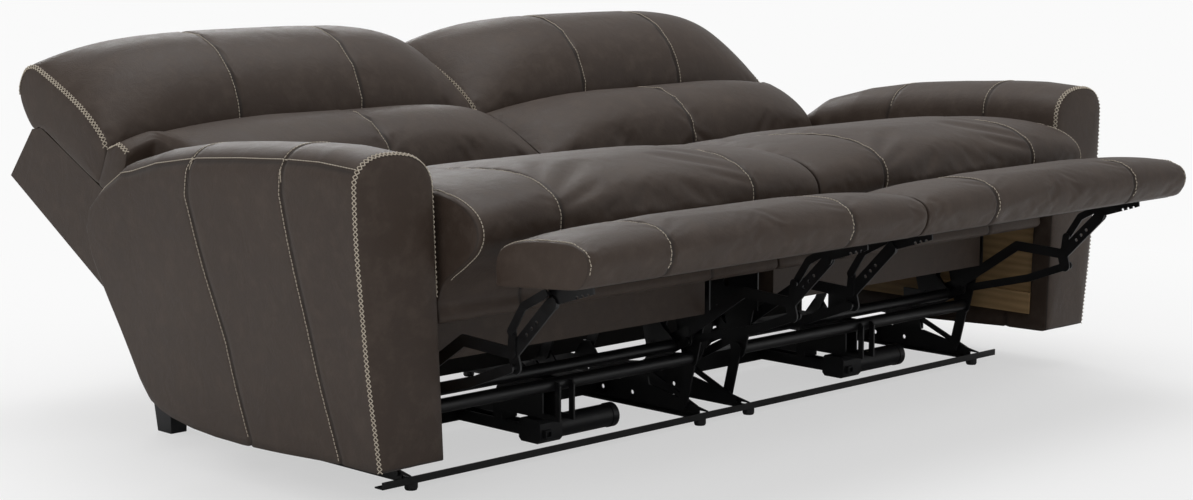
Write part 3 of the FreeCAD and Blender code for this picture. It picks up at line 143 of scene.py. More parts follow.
# Leather: semi-matt top-grain hide, drum-dyed grey-brown with a thin protective finish. It shows
# a fine pebble, broad soft creases, slightly paler high spots and painted shade in the sunk seams.
leather, tree, output = finish_material("grey_brown_top_grain_leather")
place = add(tree, "ShaderNodeTexCoord").outputs["Object"]
cloud = add(tree, "ShaderNodeTexNoise", Vector=place, Scale=3.2, Detail=4.0, Roughness=0.6)
mottle = add(tree, "ShaderNodeTexNoise", Vector=place, Scale=26.0, Detail=6.0, Roughness=0.65)
# Pebble cells are about 1.2 mm on the hide and are drawn at 2.6 mm so that they show.
pebble = add(tree, "ShaderNodeTexVoronoi", {"feature": "SMOOTH_F1"}, Vector=place, Scale=380.0)
crease = add(tree, "ShaderNodeTexNoise", Vector=place, Scale=17.0, Detail=8.0, Roughness=0.7, Distortion=0.8)
base = add(tree, "ShaderNodeMix", {"data_type": "RGBA"}, Factor=cloud.outputs["Fac"],
           i6=linear("#362b25"), i7=linear("#453930"))
worn = add(tree, "ShaderNodeMapRange", {"interpolation_type": "SMOOTHSTEP"}, Value=mottle.outputs["Fac"],
           From_Min=0.42, From_Max=0.74, To_Min=0.0, To_Max=0.5)
rubbed = add(tree, "ShaderNodeMix", {"data_type": "RGBA"}, Factor=worn.outputs[0], i6=base.outputs[2],
             i7=linear("#52473f"))
# Painted shade: the seam mark darkens the leather towards #231d1a in the sunk seam valleys and at the sewn
# rims.
seam_shade_mask = add(tree, "ShaderNodeAttribute", {"attribute_name": "seam"})
leather_with_seam_shade = add(tree, "ShaderNodeMix", {"data_type": "RGBA"}, Factor=seam_shade_mask.outputs["Fac"], i6=rubbed.outputs[2],
             i7=linear("#231d1a"))
gloss = add(tree, "ShaderNodeMapRange", Value=mottle.outputs["Fac"], From_Min=0.3, From_Max=0.7,
            To_Min=0.46, To_Max=0.60)
fine = add(tree, "ShaderNodeBump", Height=pebble.outputs["Distance"], Strength=0.16, Distance=0.0008)
broad = add(tree, "ShaderNodeBump", Height=crease.outputs["Fac"], Strength=0.42, Distance=0.004,
            Normal=fine.outputs[0])
skin = add(tree, "ShaderNodeBsdfPrincipled", Base_Color=leather_with_seam_shade.outputs[2], Roughness=gloss.outputs[0],
           Normal=broad.outputs[0], IOR=1.48)
skin.inputs["Specular IOR Level"].default_value = 0.3
skin.inputs["Sheen Weight"].default_value = 0.03
skin.inputs["Sheen Roughness"].default_value = 0.45
skin.inputs["Coat Weight"].default_value = 0.05
skin.inputs["Coat Roughness"].default_value = 0.42
tree.links.new(skin.outputs[0], output.inputs["Surface"])

# Sewing thread: bonded polyester in beige, lighter than the leather, about 0.9 mm thick. It is
# drawn at about twice that thickness so that it shows.
thread, tree, output = finish_material("beige_bonded_thread")
place = add(tree, "ShaderNodeTexCoord").outputs["Object"]
ply = add(tree, "ShaderNodeTexNoise", Vector=place, Scale=420.0, Detail=2.0)
tint = add(tree, "ShaderNodeMix", {"data_type": "RGBA"}, Factor=ply.outputs["Fac"], i6=linear("#9a8f7e"),
           i7=linear("#cdc2b1"))
yarn = add(tree, "ShaderNodeBsdfPrincipled", Base_Color=tint.outputs[2], Roughness=0.72)
yarn.inputs["Sheen Weight"].default_value = 0.2
tree.links.new(yarn.outputs[0], output.inputs["Surface"])

# Stitches: lockstitch beside each seam, and crossed decorative stitches at the boxed ends. One tree
# serves the whole sofa: it puts a short thread, or two crossed ones, at every needle hole.
stitch_tree = bpy.data.node_groups.new("needle_stitches", "GeometryNodeTree")
stitch_tree.interface.new_socket("Geometry", in_out="INPUT", socket_type="NodeSocketGeometry")
for label in ("Stitch length", "Thread radius", "Lean"):
    stitch_tree.interface.new_socket(label, in_out="INPUT", socket_type="NodeSocketFloat")
stitch_tree.interface.new_socket("Crossed", in_out="INPUT", socket_type="NodeSocketBool")
stitch_tree.interface.new_socket("Geometry", in_out="OUTPUT", socket_type="NodeSocketGeometry")
holes = stitch_tree.nodes.new("NodeGroupInput")
strand = add(stitch_tree, "GeometryNodeMeshCylinder", Vertices=6, Radius=holes.outputs["Thread radius"],
             Depth=holes.outputs["Stitch length"])
left_lean = add(stitch_tree, "ShaderNodeCombineXYZ", Y=math.pi / 2, Z=holes.outputs["Lean"])
opposite = add(stitch_tree, "ShaderNodeMath", {"operation": "MULTIPLY"}, i0=holes.outputs["Lean"], i1=-1.0)
right_lean = add(stitch_tree, "ShaderNodeCombineXYZ", Y=math.pi / 2, Z=opposite.outputs[0])
one = add(stitch_tree, "GeometryNodeTransform", Geometry=strand.outputs["Mesh"],
          Rotation=left_lean.outputs[0])
two = add(stitch_tree, "GeometryNodeTransform", Geometry=strand.outputs["Mesh"],
          Rotation=right_lean.outputs[0])
both = stitch_tree.nodes.new("GeometryNodeJoinGeometry")
stitch_tree.links.new(one.outputs[0], both.inputs[0])
stitch_tree.links.new(two.outputs[0], both.inputs[0])
pick = stitch_tree.nodes.new("GeometryNodeSwitch")
pick.input_type = "GEOMETRY"
stitch_tree.links.new(holes.outputs["Crossed"], pick.inputs["Switch"])
stitch_tree.links.new(one.outputs[0], pick.inputs["False"])
stitch_tree.links.new(both.outputs[0], pick.inputs["True"])
turn = add(stitch_tree, "GeometryNodeInputNamedAttribute", {"data_type": "FLOAT_VECTOR"}, Name="turn")
sewn = add(stitch_tree, "GeometryNodeInstanceOnPoints", Points=holes.outputs["Geometry"],
           Instance=pick.outputs[0], Rotation=turn.outputs[0])
real = add(stitch_tree, "GeometryNodeRealizeInstances", Geometry=sewn.outputs[0])
dyed = add(stitch_tree, "GeometryNodeSetMaterial", Geometry=real.outputs[0], Material=thread)
ends = stitch_tree.nodes.new("NodeGroupOutput")
stitch_tree.links.new(dyed.outputs[0], ends.inputs[0])


def spaced(path, pitch):
    """Points and normals at an even pitch along a path of (point, normal) pairs."""
    result = []
    left = pitch / 2
    for (a, na), (b, nb) in zip(path, path[1:]):
        run = (b - a).length
        while left <= run and run > 1e-9:
            share = left / run
            result.append((a.lerp(b, share), na.lerp(nb, share).normalized(), (b - a).normalized()))
            left += pitch
        left -= run
    return result


CROSS_STITCH = {"pitch": 9.0, "length": 13.0, "radius": 1.0, "crossed": True, "lean": 0.85}


def sew(name, paths, body, slot_name="leather", pitch=7.5, length=5.2, radius=0.9, crossed=False,
        lean=0.0, lift=0.5):
    """Stitches along paths of (point, normal) pairs, as one mesh on one body. Sizes in mm."""
    points, turns = [], []
    for line in paths:
        for point, normal, tangent in spaced(line, pitch / 1000.0):
            side = normal.cross(tangent).normalized()
            up = tangent.cross(side).normalized()
            points.append(point + normal * lift / 1000.0)
            turns.append(Matrix((tangent, side, up)).transposed().to_euler())
    mesh = bpy.data.meshes.new(name + "_holes")
    mesh.from_pydata(points, [], [])
    values = mesh.attributes.new("turn", "FLOAT_VECTOR", "POINT")
    for number, angle in enumerate(turns):
        values.data[number].vector = tuple(angle)
    piece = bpy.data.objects.new(name, mesh)
    bpy.context.scene.collection.objects.link(piece)
    modifier = piece.modifiers.new("stitches", "NODES")
    modifier.node_group = stitch_tree
    inputs = {"Stitch length": length / 1000.0, "Thread radius": radius / 1000.0, "Lean": lean,
              "Crossed": crossed}
    for item in stitch_tree.interface.items_tree:
        if item.item_type == "SOCKET" and item.in_out == "INPUT" and item.name in inputs:
            modifier[item.identifier] = inputs[item.name]
    ready = piece.evaluated_get(bpy.context.evaluated_depsgraph_get())
    plain = bpy.data.meshes.new_from_object(ready)
    piece.modifiers.clear()
    piece.data = plain
    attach(piece, body)


# Cushions. Each is a foam block under a fibre wrap in a sewn leather cover: panels across the
# sofa joined by seams, with a boxed end panel at each side. The covers belly between the seams.
# Sizes are in millimetres. The rings in a boxed end are shares of its rim.
RING_STEPS = 7
ROW_PITCH = 9.0
SEAM_ROWS = (-9.0, -6.0, -3.0, 0.0, 3.0, 6.0, 9.0)
END_ROWS = (2.0, 5.0, 9.0)
END_RINGS = (0.985, 0.95, 0.86, 0.7, 0.5, 0.28, 0.1)
INNER_BULGE = 1.5
OUTER_BULGE = 5.0
TOPSTITCH_OFFSET = 6.0
SWELL_FRAMES = 14


def smooth_ring(points):
    """A closed smooth line through corner points."""
    ring = []
    count = len(points)
    for number in range(count):
        a, b, c, d = (Vector(points[(number + k - 1) % count]) for k in range(4))
        for step in range(RING_STEPS):
            t = step / RING_STEPS
            ring.append(0.5 * (2 * b + (c - a) * t + (2 * a - 5 * b + 4 * c - d) * t * t
                               + (3 * b - a - 3 * c + d) * t ** 3))
    return ring


def stations(x0, x1, seams):
    """Places across a cushion, denser at the seams and at both ends."""
    places = set()
    count = int((x1 - x0) / ROW_PITCH)
    for number in range(count + 1):
        x = x0 + (x1 - x0) * number / count
        if all(abs(x - seam) > SEAM_ROWS[-1] for seam in seams):
            places.add(round(x, 3))
    for seam in seams:
        places.update(round(seam + step, 3) for step in SEAM_ROWS)
    places.update(round(x0 + step, 3) for step in END_ROWS)
    places.update(round(x1 - step, 3) for step in END_ROWS)
    return sorted(places)


def crown_rise(share, power=4.2):
    """How far the cover has risen towards its crown, by the share of the way across."""
    return 1.0 - abs(2.0 * share - 1.0) ** power


def close_end(verts, faces, first, count, axis, rings, bulge, turned):
    """Closes the ring that starts at point number first by smaller rings that belly out, and a tip."""
    rim = [verts[first + k].copy() for k in range(count)]
    centre = sum(rim, Vector()) / count
    previous = [first + k for k in range(count)]
    for scale in rings:
        start = len(verts)
        for point in rim:
            moved = centre + (point - centre) * scale
            moved[axis] += bulge / 1000.0 * (1.0 - scale ** 3) ** 0.5
            verts.append(moved)
        inner = [start + k for k in range(count)]
        for k in range(count):
            after = (k + 1) % count
            quad = (previous[k], previous[after], inner[after], inner[k])
            faces.append(tuple(reversed(quad)) if turned else quad)
        previous = inner
    out = Vector()
    out[axis] = bulge / 1000.0
    tip = len(verts)
    verts.append(centre + out)
    for k in range(count):
        tri = (previous[k], previous[(k + 1) % count], tip)
        faces.append(tuple(reversed(tri)) if turned else tri)


def face_outwards(mesh):
    """Turns the faces of a closed mesh outwards, by the sign of its volume."""
    volume = 0.0
    for poly in mesh.polygons:
        a, *others = [mesh.vertices[number].co for number in poly.vertices]
        volume += sum(a.dot(b.cross(c)) for b, c in zip(others, others[1:]))
    if volume < 0:
        mesh.flip_normals()


class Cushion:
    """A cushion's grid: rows across the sofa, each a closed ring, with boxed ends."""

    def __init__(self, corners, x0, x1, seams, shape=None):
        """Corners are pairs of (y, z), at the boxed ends and at the crown's middle."""
        self.rows = stations(x0, x1, seams)
        self.seams = seams
        self.around = len(corners) * RING_STEPS
        verts, faces = [], []
        for x in self.rows:
            rise = crown_rise((x - x0) / (x1 - x0))
            points = [(a[0] + (b[0] - a[0]) * rise, a[1] + (b[1] - a[1]) * rise) for a, b in corners]
            if shape:
                points = shape(x, points)
            ring = smooth_ring(points)
            # The cover draws in a little towards its sewn ends.
            tuck = 1.0 - 0.020 * math.exp(-min(x - x0, x1 - x) / 5.0)
            middle = sum(ring, Vector((0.0, 0.0))) / len(ring)
            verts += [at(x, *(middle + (p - middle) * tuck)) for p in ring]
        n = self.around
        for row in range(len(self.rows) - 1):
            for k in range(n):
                after = (k + 1) % n
                faces.append((row * n + k, row * n + after, (row + 1) * n + after, (row + 1) * n + k))
        self.body_count = len(verts)
        # The inner ends of the two seats' pads lie against each other and stay nearly flat.
        for first, bulge in ((0, -INNER_BULGE), ((len(self.rows) - 1) * n, OUTER_BULGE)):
            close_end(verts, faces, first, n, 0, END_RINGS, bulge, turned=bulge < 0.0)
        self.verts, self.faces = verts, faces
        self.mesh = None

    def index(self, row, k):
        return row * self.around + k % self.around

    def build(self, name):
        self.mesh = bpy.data.meshes.new(name)
        self.mesh.from_pydata(self.verts, [], self.faces)
        face_outwards(self.mesh)

    def held(self, under):
        """Vertices sewn down: the seams, the ends, and what lies on the frame."""
        pinned = set(range(self.body_count, len(self.verts)))
        for row, x in enumerate(self.rows):
            sewn = row in (0, len(self.rows) - 1) or any(abs(x - seam) < 0.5 for seam in self.seams)
            pinned.update(self.index(row, k) for k in (range(self.around) if sewn else under))
        return pinned

    def swell(self, name, under, pressure, cap):
        """Inflates the cover between its sewn lines as cloth, and keeps the result."""
        piece = bpy.data.objects.new(name + "_inflating", self.mesh.copy())
        bpy.context.scene.collection.objects.link(piece)
        group = piece.vertex_groups.new(name="sewn")
        group.add(sorted(self.held(under)), 1.0, "REPLACE")
        cloth = piece.modifiers.new("cloth", "CLOTH")
        cloth.settings.quality = 5
        cloth.settings.mass = 0.4
        cloth.settings.tension_stiffness = 22.0
        cloth.settings.compression_stiffness = 22.0
        cloth.settings.shear_stiffness = 8.0
        cloth.settings.bending_stiffness = 1.2
        cloth.settings.shrink_min = -0.004
        cloth.settings.vertex_group_mass = "sewn"
        cloth.settings.use_pressure = True
        cloth.settings.uniform_pressure_force = pressure
        cloth.settings.effector_weights.gravity = 0.0
        cloth.collision_settings.use_collision = False
        cloth.point_cache.frame_start = 1
        cloth.point_cache.frame_end = SWELL_FRAMES
        for number in range(1, SWELL_FRAMES + 1):
            bpy.context.scene.frame_set(number)
        ready = piece.evaluated_get(bpy.context.evaluated_depsgraph_get())
        moved = [v.co.copy() for v in ready.data.vertices]
        bpy.context.scene.frame_set(1)
        bpy.data.objects.remove(piece)
        limit = cap / 1000.0
        for vertex, goal in zip(self.mesh.vertices, moved):
            step = goal - vertex.co
            if step.length > limit:
                step *= limit / step.length
            vertex.co += step

    def sink_seams(self, depth=4.0, width=4.5):
        """Pulls the seams down into the cover and marks them, and the end rows' rims, for painted shade."""
        mesh = self.mesh
        mesh.update()
        normals = [v.normal.copy() for v in mesh.vertices]
        # The seam attribute carries painted shade: darker leather in the sunk seams, and some at the end
        # rows.
        shade = mesh.attributes.new("seam", "FLOAT", "POINT")
        for row, x in enumerate(self.rows):
            strength = math.exp(-(min(abs(x - seam) for seam in self.seams) / width) ** 2)
            rim = 0.5 if row in (0, len(self.rows) - 1) else 0.0
            for k in range(self.around):
                number = self.index(row, k)
                mesh.vertices[number].co -= normals[number] * strength * depth / 1000.0
                shade.data[number].value = max(0.85 * strength, rim)
        mesh.update()

    def line(self, row, span):
        """A sewn line along one row, over part of the ring, as (point, normal) pairs."""
        points = [self.mesh.vertices[self.index(row, k)] for k in span]
        return [(point.co.copy(), point.normal.copy()) for point in points]

    def row_near(self, x):
        return min(range(len(self.rows)), key=lambda row: abs(self.rows[row] - x))

    def beside_seams(self, span):
        """A row of topstitch on one side of every seam, over part of the ring."""
        return [(self.row_near(seam + TOPSTITCH_OFFSET), span) for seam in self.seams]


def smooth_piece(name, mesh, material, levels=0):
    """An object from a mesh, shaded smooth, with one applied subdivision if asked for."""
    piece = bpy.data.objects.new(name, mesh)
    bpy.context.scene.collection.objects.link(piece)
    mesh.materials.clear()
    mesh.materials.append(material)
    for poly in mesh.polygons:
        poly.use_smooth = True
    if levels:
        modifier = piece.modifiers.new("finer", "SUBSURF")
        modifier.levels = modifier.render_levels = levels
        ready = piece.evaluated_get(bpy.context.evaluated_depsgraph_get())
        finer = bpy.data.meshes.new_from_object(ready)
        piece.modifiers.clear()
        piece.data = finer
    return piece


def other_hand(mesh, name):
    """The mirror copy of a right-hand mesh."""
    copy = mesh.copy()
    copy.name = name
    copy.transform(Matrix.Scale(-1.0, 4, (1.0, 0.0, 0.0)))
    copy.flip_normals()
    return copy


def on_hand(hand, paths):
    """The right hand's paths, mirrored for the left hand."""
    if hand == "right":
        return paths
    return [[(Vector((-p.x, p.y, p.z)), Vector((-n.x, n.y, n.z))) for p, n in path] for path in paths]


def upholster(node, body, cushion, under, plain, crossed=(), pressure=2.0, cap=9.0):
    """Both hands of one cushion: cover, seams, frame ties and rows of stitches, as (row, span) pairs."""
    cushion.build(node)
    cushion.swell(node, under, pressure, cap)
    cushion.sink_seams()
    plain = [cushion.line(row, span) for row, span in plain]
    crossed = [cushion.line(row, span) for row, span in crossed]
    for hand in ("right", "left"):
        mesh = cushion.mesh.copy() if hand == "right" else other_hand(cushion.mesh, "left_" + node)
        piece = smooth_piece(hand + "_" + node + "_cover", mesh, leather, levels=1)
        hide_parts(hand + "_" + node)
        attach(piece, hand + "_" + body)
        sew(hand + "_" + node + "_topstitch", on_hand(hand, plain), hand + "_" + body)
        if crossed:
            sew(hand + "_" + node + "_cross_stitch", on_hand(hand, crossed), hand + "_" + body,
                **CROSS_STITCH)


def still(point):
    """A corner that the crown doesn't lift."""
    return point, point


# Head bolsters: the upper pillow of each back, three panels wide, rolled over the top edge of
# the back board. Its boxed end carries a cross-stitched seam. Leather over fibre and foam.
# The back has its own plane, from the recline hinge: u up the back, v out of its front face.
RECLINE = math.radians(25.7)
HINGE_Y, HINGE_Z = 640.0, 330.0
INNER_END = 3.0
BACK_OUTER_END = 1003.0


def back(u, v):
    return (HINGE_Y + u * math.cos(RECLINE) - v * math.sin(RECLINE),
            HINGE_Z + u * math.sin(RECLINE) + v * math.cos(RECLINE))


head_corners = [
    still(back(240, 92)), still(back(360, 90.5)), still(back(470, 91)), still(back(506, 74)),
    (back(560, 98), back(562, 98)), (back(585, 130), back(590, 150)), (back(580, 172), back(590, 205)),
    (back(552, 197), back(556, 256)), (back(510, 203), back(507, 286)), (back(455, 206), back(455, 307)),
    (back(405, 207), back(405, 311)), (back(345, 205), back(345, 296)), (back(290, 196), back(290, 262)),
    (back(252, 182), back(252, 212)), (back(237, 150), back(238, 160)), (back(236, 110), back(236, 112)),
]
head = Cushion(head_corners, INNER_END, BACK_OUTER_END, [340.0, 672.0])
head_top = range(4 * RING_STEPS + 4, 14 * RING_STEPS - 3)
head_middle = range(6 * RING_STEPS, 13 * RING_STEPS)
upholster("head_bolster", "back", head, under=range(-6, 3 * RING_STEPS + 3),
          plain=head.beside_seams(head_top),
          crossed=[(head.row_near(BACK_OUTER_END), head_top), (head.row_near(INNER_END), head_middle)])

# Lumbar bolsters: the lower pillow of each back, one seam down the middle, tucked under the head
# bolster and down behind the seat. Above the arm it widens into a wing. Leather over fibre and foam.
# Its corners are (u, v) pairs in the back's plane.
LUMBAR_FOOT, LUMBAR_TOP = -32.0, 240.0
WING_START, WING_FULL = 908.0, 936.0
WING_LIFT = 200.0
WING_EDGE, WING_CROWN, WING_THINNING = 206.0, 52.0, 26.0
lumbar_corners = [
    still((-31, 92)), still((60, 91)), still((150, 91)), still((236, 93)),
    ((239, 130), (239, 132)), ((238, 176), (238, 192)), ((220, 196), (222, 232)), ((180, 204), (182, 258)),
    ((133, 207), (133, 281)), ((80, 207), (80, 284)), ((35, 206), (35, 274)), ((0, 203), (0, 252)),
    ((-24, 186), (-24, 214)), ((-32, 140), (-32, 150)),
]


def eased(value, start, stop):
    """A smooth step from 0 at start to 1 at stop."""
    share = min(1.0, max(0.0, (value - start) / (stop - start)))
    return share * share * (3 - 2 * share)


def winged(x, points):
    """Behind the arm the pillow starts above the arm's top, and thins out there."""
    share = eased(x, WING_START, WING_FULL)
    foot = LUMBAR_FOOT + WING_LIFT * share
    across = (x - INNER_END) / (BACK_OUTER_END - INNER_END)
    result = []
    for u, v in points:
        raised = LUMBAR_TOP - (LUMBAR_TOP - u) * (LUMBAR_TOP - foot) / (LUMBAR_TOP - LUMBAR_FOOT)
        thinned = WING_THINNING * eased(raised, LUMBAR_TOP - 35.0, LUMBAR_TOP)
        limit = WING_EDGE + WING_CROWN * crown_rise(across) - thinned
        result.append(back(raised, v + share * (min(v, limit) - v)))
    return result


lumbar = Cushion(lumbar_corners, INNER_END, BACK_OUTER_END, [462.0], shape=winged)
lumbar_top = range(5 * RING_STEPS, 12 * RING_STEPS)
lumbar_end = range(5 * RING_STEPS + 2, 11 * RING_STEPS)
upholster("lumbar_bolster", "back", lumbar, under=range(-3, 4 * RING_STEPS),
          plain=lumbar.beside_seams(lumbar_top),
          crossed=[(lumbar.row_near(BACK_OUTER_END), lumbar_end)])

# Seats: a thick foam block with a rolled front edge, a leather front border and two seams from
# back to front. It lies on the sprung frame, and its rear end goes under the back.
SEAT_OUTER_END = 921.0
seat_corners = [
    still((-146, 339)), still((-60, 336)), still((120, 334.5)), still((320, 334.5)), still((492, 336)),
    still((478, 352)), still((400, 378)), ((384, 470), (384, 476)), ((312, 523), (312, 536)),
    ((200, 553), (200, 567)), ((60, 572), (60, 588)), ((-50, 580), (-50, 598)), ((-130, 579), (-138, 597)),
    ((-200, 566), (-206, 584)), ((-244, 543), (-252, 556)), ((-260, 512), (-263, 516)),
    ((-248, 480), (-248, 481)), still((-212, 450)), still((-168, 418)), still((-147, 378)),
]
seat = Cushion(seat_corners, INNER_END, SEAT_OUTER_END, [203.0, 722.0])
seat_top = range(7 * RING_STEPS + 4, 17 * RING_STEPS)
seat_edge = (seat.row_near(SEAT_OUTER_END - 9.0), range(9 * RING_STEPS, 18 * RING_STEPS))
upholster("seat_cushion", "carriage", seat, under=range(-5 * RING_STEPS + 3, 7 * RING_STEPS + 2),
          plain=seat.beside_seams(seat_top) + [seat_edge])

# Footrests: a plywood board wrapped in foam and leather, with a rolled front edge and two seams.
# Each end is boxed, and the outer one has one stitched seam round its edge. The pad has its own
# plane, from its rear lower edge: forward along the board and up from it.
REST_TILT = math.radians(4.4)
REST_Y, REST_Z = -300.0, 425.0


def rest(forward, up):
    return (REST_Y - forward * math.cos(REST_TILT) + up * math.sin(REST_TILT),
            REST_Z + forward * math.sin(REST_TILT) + up * math.cos(REST_TILT))


rest_corners = [
    still(rest(4, 1)), still(rest(70, 0.5)), still(rest(140, 0.5)), still(rest(204, 2)), still(rest(226, 18)),
    (rest(236, 40), rest(237, 42)), (rest(230, 62), rest(232, 68)), (rest(204, 77), rest(206, 90)),
    (rest(160, 82), rest(160, 97)), (rest(105, 83), rest(105, 98)), (rest(52, 78), rest(52, 92)),
    (rest(14, 64), rest(13, 74)), (rest(1, 38), rest(1, 40)), still(rest(1, 12)),
]
footrest = Cushion(rest_corners, INNER_END, SEAT_OUTER_END, [224.0, 716.0])
rest_top = range(4 * RING_STEPS, 12 * RING_STEPS)
rest_edge = (footrest.row_near(SEAT_OUTER_END - 5.0), range(4 * RING_STEPS + 3, 12 * RING_STEPS))
upholster("ottoman_cushion", "ottoman", footrest, under=range(-3 * RING_STEPS, 3 * RING_STEPS + 4),
          plain=footrest.beside_seams(rest_top) + [rest_edge], pressure=1.4, cap=5.0)

# Arms: a wooden box under foam and leather, flared at the top and rounded over, with a leather
# band over the crown, a front panel sewn on with crossed stitches, and two seams over the arm.
# The lines are (y, z) pairs along the arm, and (z, y) pairs up its outer side for the seams.
ARM_FRONT, ARM_REAR = -165.0, 687.0
INNER_FOOT, INNER_FLARE, INNER_FROM, INNER_RISE = 927.4, 22.0, 72.0, 520.0
OUTER_FOOT, OUTER_FLARE, OUTER_FROM, OUTER_RISE = 1074.0, 51.0, 93.0, 516.0
CREST = 1047.0
SIDE_POINTS, ARC_POINTS, FOOT_POINTS = 34, 14, 10
ARM_END_RINGS = (0.985, 0.95, 0.88, 0.76, 0.6, 0.4, 0.2)
ARM_FRONT_BULGE, ARM_REAR_BULGE = 9.0, 3.0
PANEL_Y = (-118.0, 499.0)
PANEL_Z = (130.0, 499.0)
BEHIND_PANEL = 950.0
SHOULDER_COLUMN = SIDE_POINTS + 4
CROWN_LINE = [(-165, 659), (-59, 664), (41, 662), (175, 654), (314, 642), (445, 623), (563, 592),
              (625, 547), (670, 505), (687, 462)]
FOOT_LINE = [(-165, 92), (-40, 90), (120, 83), (246, 78), (330, 79), (405, 85), (470, 96), (505, 106),
             (538, 122), (564, 159), (596, 225), (609, 253), (638, 314), (676, 395), (687, 445)]
REAR_SEAM = [(86, 218), (275, 251), (411, 294), (547, 336), (618, 320), (660, 315)]
FRONT_SEAM = [(90, -53), (336, -7), (459, 18), (573, 44), (635, 38), (670, 38)]


def read_off(line, value):
    """The second number of a line of pairs at a value of the first, smoothly joined."""
    if value <= line[0][0]:
        return float(line[0][1])
    for (a, p), (b, q) in zip(line, line[1:]):
        if value <= b:
            return p + (q - p) * (value - a) / (b - a)
    return float(line[-1][1])


def arm_inner(z):
    return INNER_FOOT + INNER_FLARE * max(0.0, z - INNER_FROM) / INNER_RISE


def arm_outer(z):
    share = min(1.0, max(0.0, (z - OUTER_FROM) / OUTER_RISE))
    return OUTER_FOOT + OUTER_FLARE * (1.0 - (1.0 - share) ** 1.55)


def arm_ring(y):
    """The arm's outline across the sofa: up the outer side, over the crown, down inside, and the foot."""
    low, high = read_off(FOOT_LINE, y), read_off(CROWN_LINE, y)
    fade = 1.0 - 0.72 * eased(y, 520.0, 680.0)
    drop = min(56.0 * fade, 0.42 * (high - low))
    shoulder = high - drop
    inner_shoulder = high - min(drop + 18.0 * fade, 0.45 * (high - low))
    ring = []
    for k in range(SIDE_POINTS):
        z = low + (shoulder - low) * k / SIDE_POINTS
        ring.append((arm_outer(z), z))
    reach = arm_outer(shoulder) - CREST
    for k in range(ARC_POINTS):
        angle = math.pi / 2 * k / ARC_POINTS
        ring.append((CREST + reach * math.cos(angle) ** 0.82, shoulder + drop * math.sin(angle) ** 0.92))
    reach = CREST - arm_inner(inner_shoulder)
    for k in range(ARC_POINTS):
        angle = math.pi / 2 * k / ARC_POINTS
        z = inner_shoulder + (high - inner_shoulder) * math.cos(angle) ** 0.84
        ring.append((CREST - reach * math.sin(angle) ** 0.86, z))
    for k in range(SIDE_POINTS):
        z = inner_shoulder + (low - inner_shoulder) * k / SIDE_POINTS
        ring.append((arm_inner(z), z))
    for k in range(FOOT_POINTS):
        ring.append((arm_inner(low) + (arm_outer(low) - arm_inner(low)) * k / FOOT_POINTS, low))
    return ring


arm_rows = [ARM_FRONT + step for step in (0.0, 2.0, 6.0)]
arm_rows += [ARM_FRONT + 11.0 + 6.0 * k for k in range(119)]
arm_rows += [ARM_REAR - 122.0 + 5.0 * k for k in range(22)]
arm_rows += [ARM_REAR - step for step in (13.0, 9.0, 5.0, 2.0, 0.0)]
arm_verts, arm_faces = [], []
arm_around = len(arm_ring(0.0))
for y in arm_rows:
    # The cover draws in a little at the sewn front.
    soften = 1.0 - 0.012 * math.exp(-(y - ARM_FRONT) / 4.0)
    ring = arm_ring(y)
    cx = sum(p[0] for p in ring) / arm_around
    cz = sum(p[1] for p in ring) / arm_around
    for x, z in ring:
        px, pz = cx + (x - cx) * soften, cz + (z - cz) * soften
        # Inside, the arm's plywood panel shows, and the cover's edge turns in round it and behind it.
        on_panel = PANEL_Y[0] < y < PANEL_Y[1] and PANEL_Z[0] < pz < PANEL_Z[1]
        if on_panel and px < BEHIND_PANEL + 10.0:
            px = BEHIND_PANEL
        arm_verts.append(at(px, y, pz))
for row in range(len(arm_rows) - 1):
    here, there = row * arm_around, (row + 1) * arm_around
    for k in range(arm_around):
        after = (k + 1) % arm_around
        arm_faces.append((here + k, there + k, there + after, here + after))
last_rim = (len(arm_rows) - 1) * arm_around
for first, bulge in ((0, -ARM_FRONT_BULGE), (last_rim, ARM_REAR_BULGE)):
    close_end(arm_verts, arm_faces, first, arm_around, 1, ARM_END_RINGS, bulge, turned=bulge > 0.0)
arm_mesh = bpy.data.meshes.new("arm_leather")
arm_mesh.from_pydata(arm_verts, [], arm_faces)
face_outwards(arm_mesh)
arm_mesh.update()

# The covers were pulled on by hand, so they lie in soft hollows, and the seams sink in. No seam
# runs down the inner side, where the plywood panel shows.
SEAM_SINK, SHOULDER_SINK, HOLLOW = 2.8, 1.5, 0.8
# The seam attribute carries painted shade: darker leather in the sunk seams, along the sunk shoulder line and
# at the front rim.
arm_shade = arm_mesh.attributes.new("seam", "FLOAT", "POINT")
arm_normals = [v.normal.copy() for v in arm_mesh.vertices]
for number, vertex in enumerate(arm_mesh.vertices):
    y = vertex.co.y * 1000.0 + FRONT_TO_ORIGIN
    z = vertex.co.z * 1000.0
    row, k = divmod(number, arm_around)
    if row >= len(arm_rows):
        continue
    depth = max(math.exp(-((y - read_off(seam, z)) / 4.5) ** 2) for seam in (REAR_SEAM, FRONT_SEAM))
    if vertex.co.x < 0.98 and 128.0 < z < 500.0:
        depth = 0.0
    shoulder_line = math.exp(-((k - SHOULDER_COLUMN) / 0.8) ** 2) if row > 2 else 0.0
    rim = 0.9 if row == 0 else 0.0
    wave = 1.6 * math.sin(y / 83.0 + z / 61.0) * math.sin(z / 97.0 - y / 140.0)
    sunk = SEAM_SINK * depth + SHOULDER_SINK * shoulder_line + HOLLOW * wave * (vertex.co.x > 1.0)
    vertex.co -= arm_normals[number] * sunk / 1000.0
    arm_shade.data[number].value = max(0.8 * depth, 0.6 * shoulder_line, rim)
arm_mesh.update()

arm_tree = BVHTree.FromPolygons([v.co for v in arm_mesh.vertices], [p.vertices[:] for p in arm_mesh.polygons])


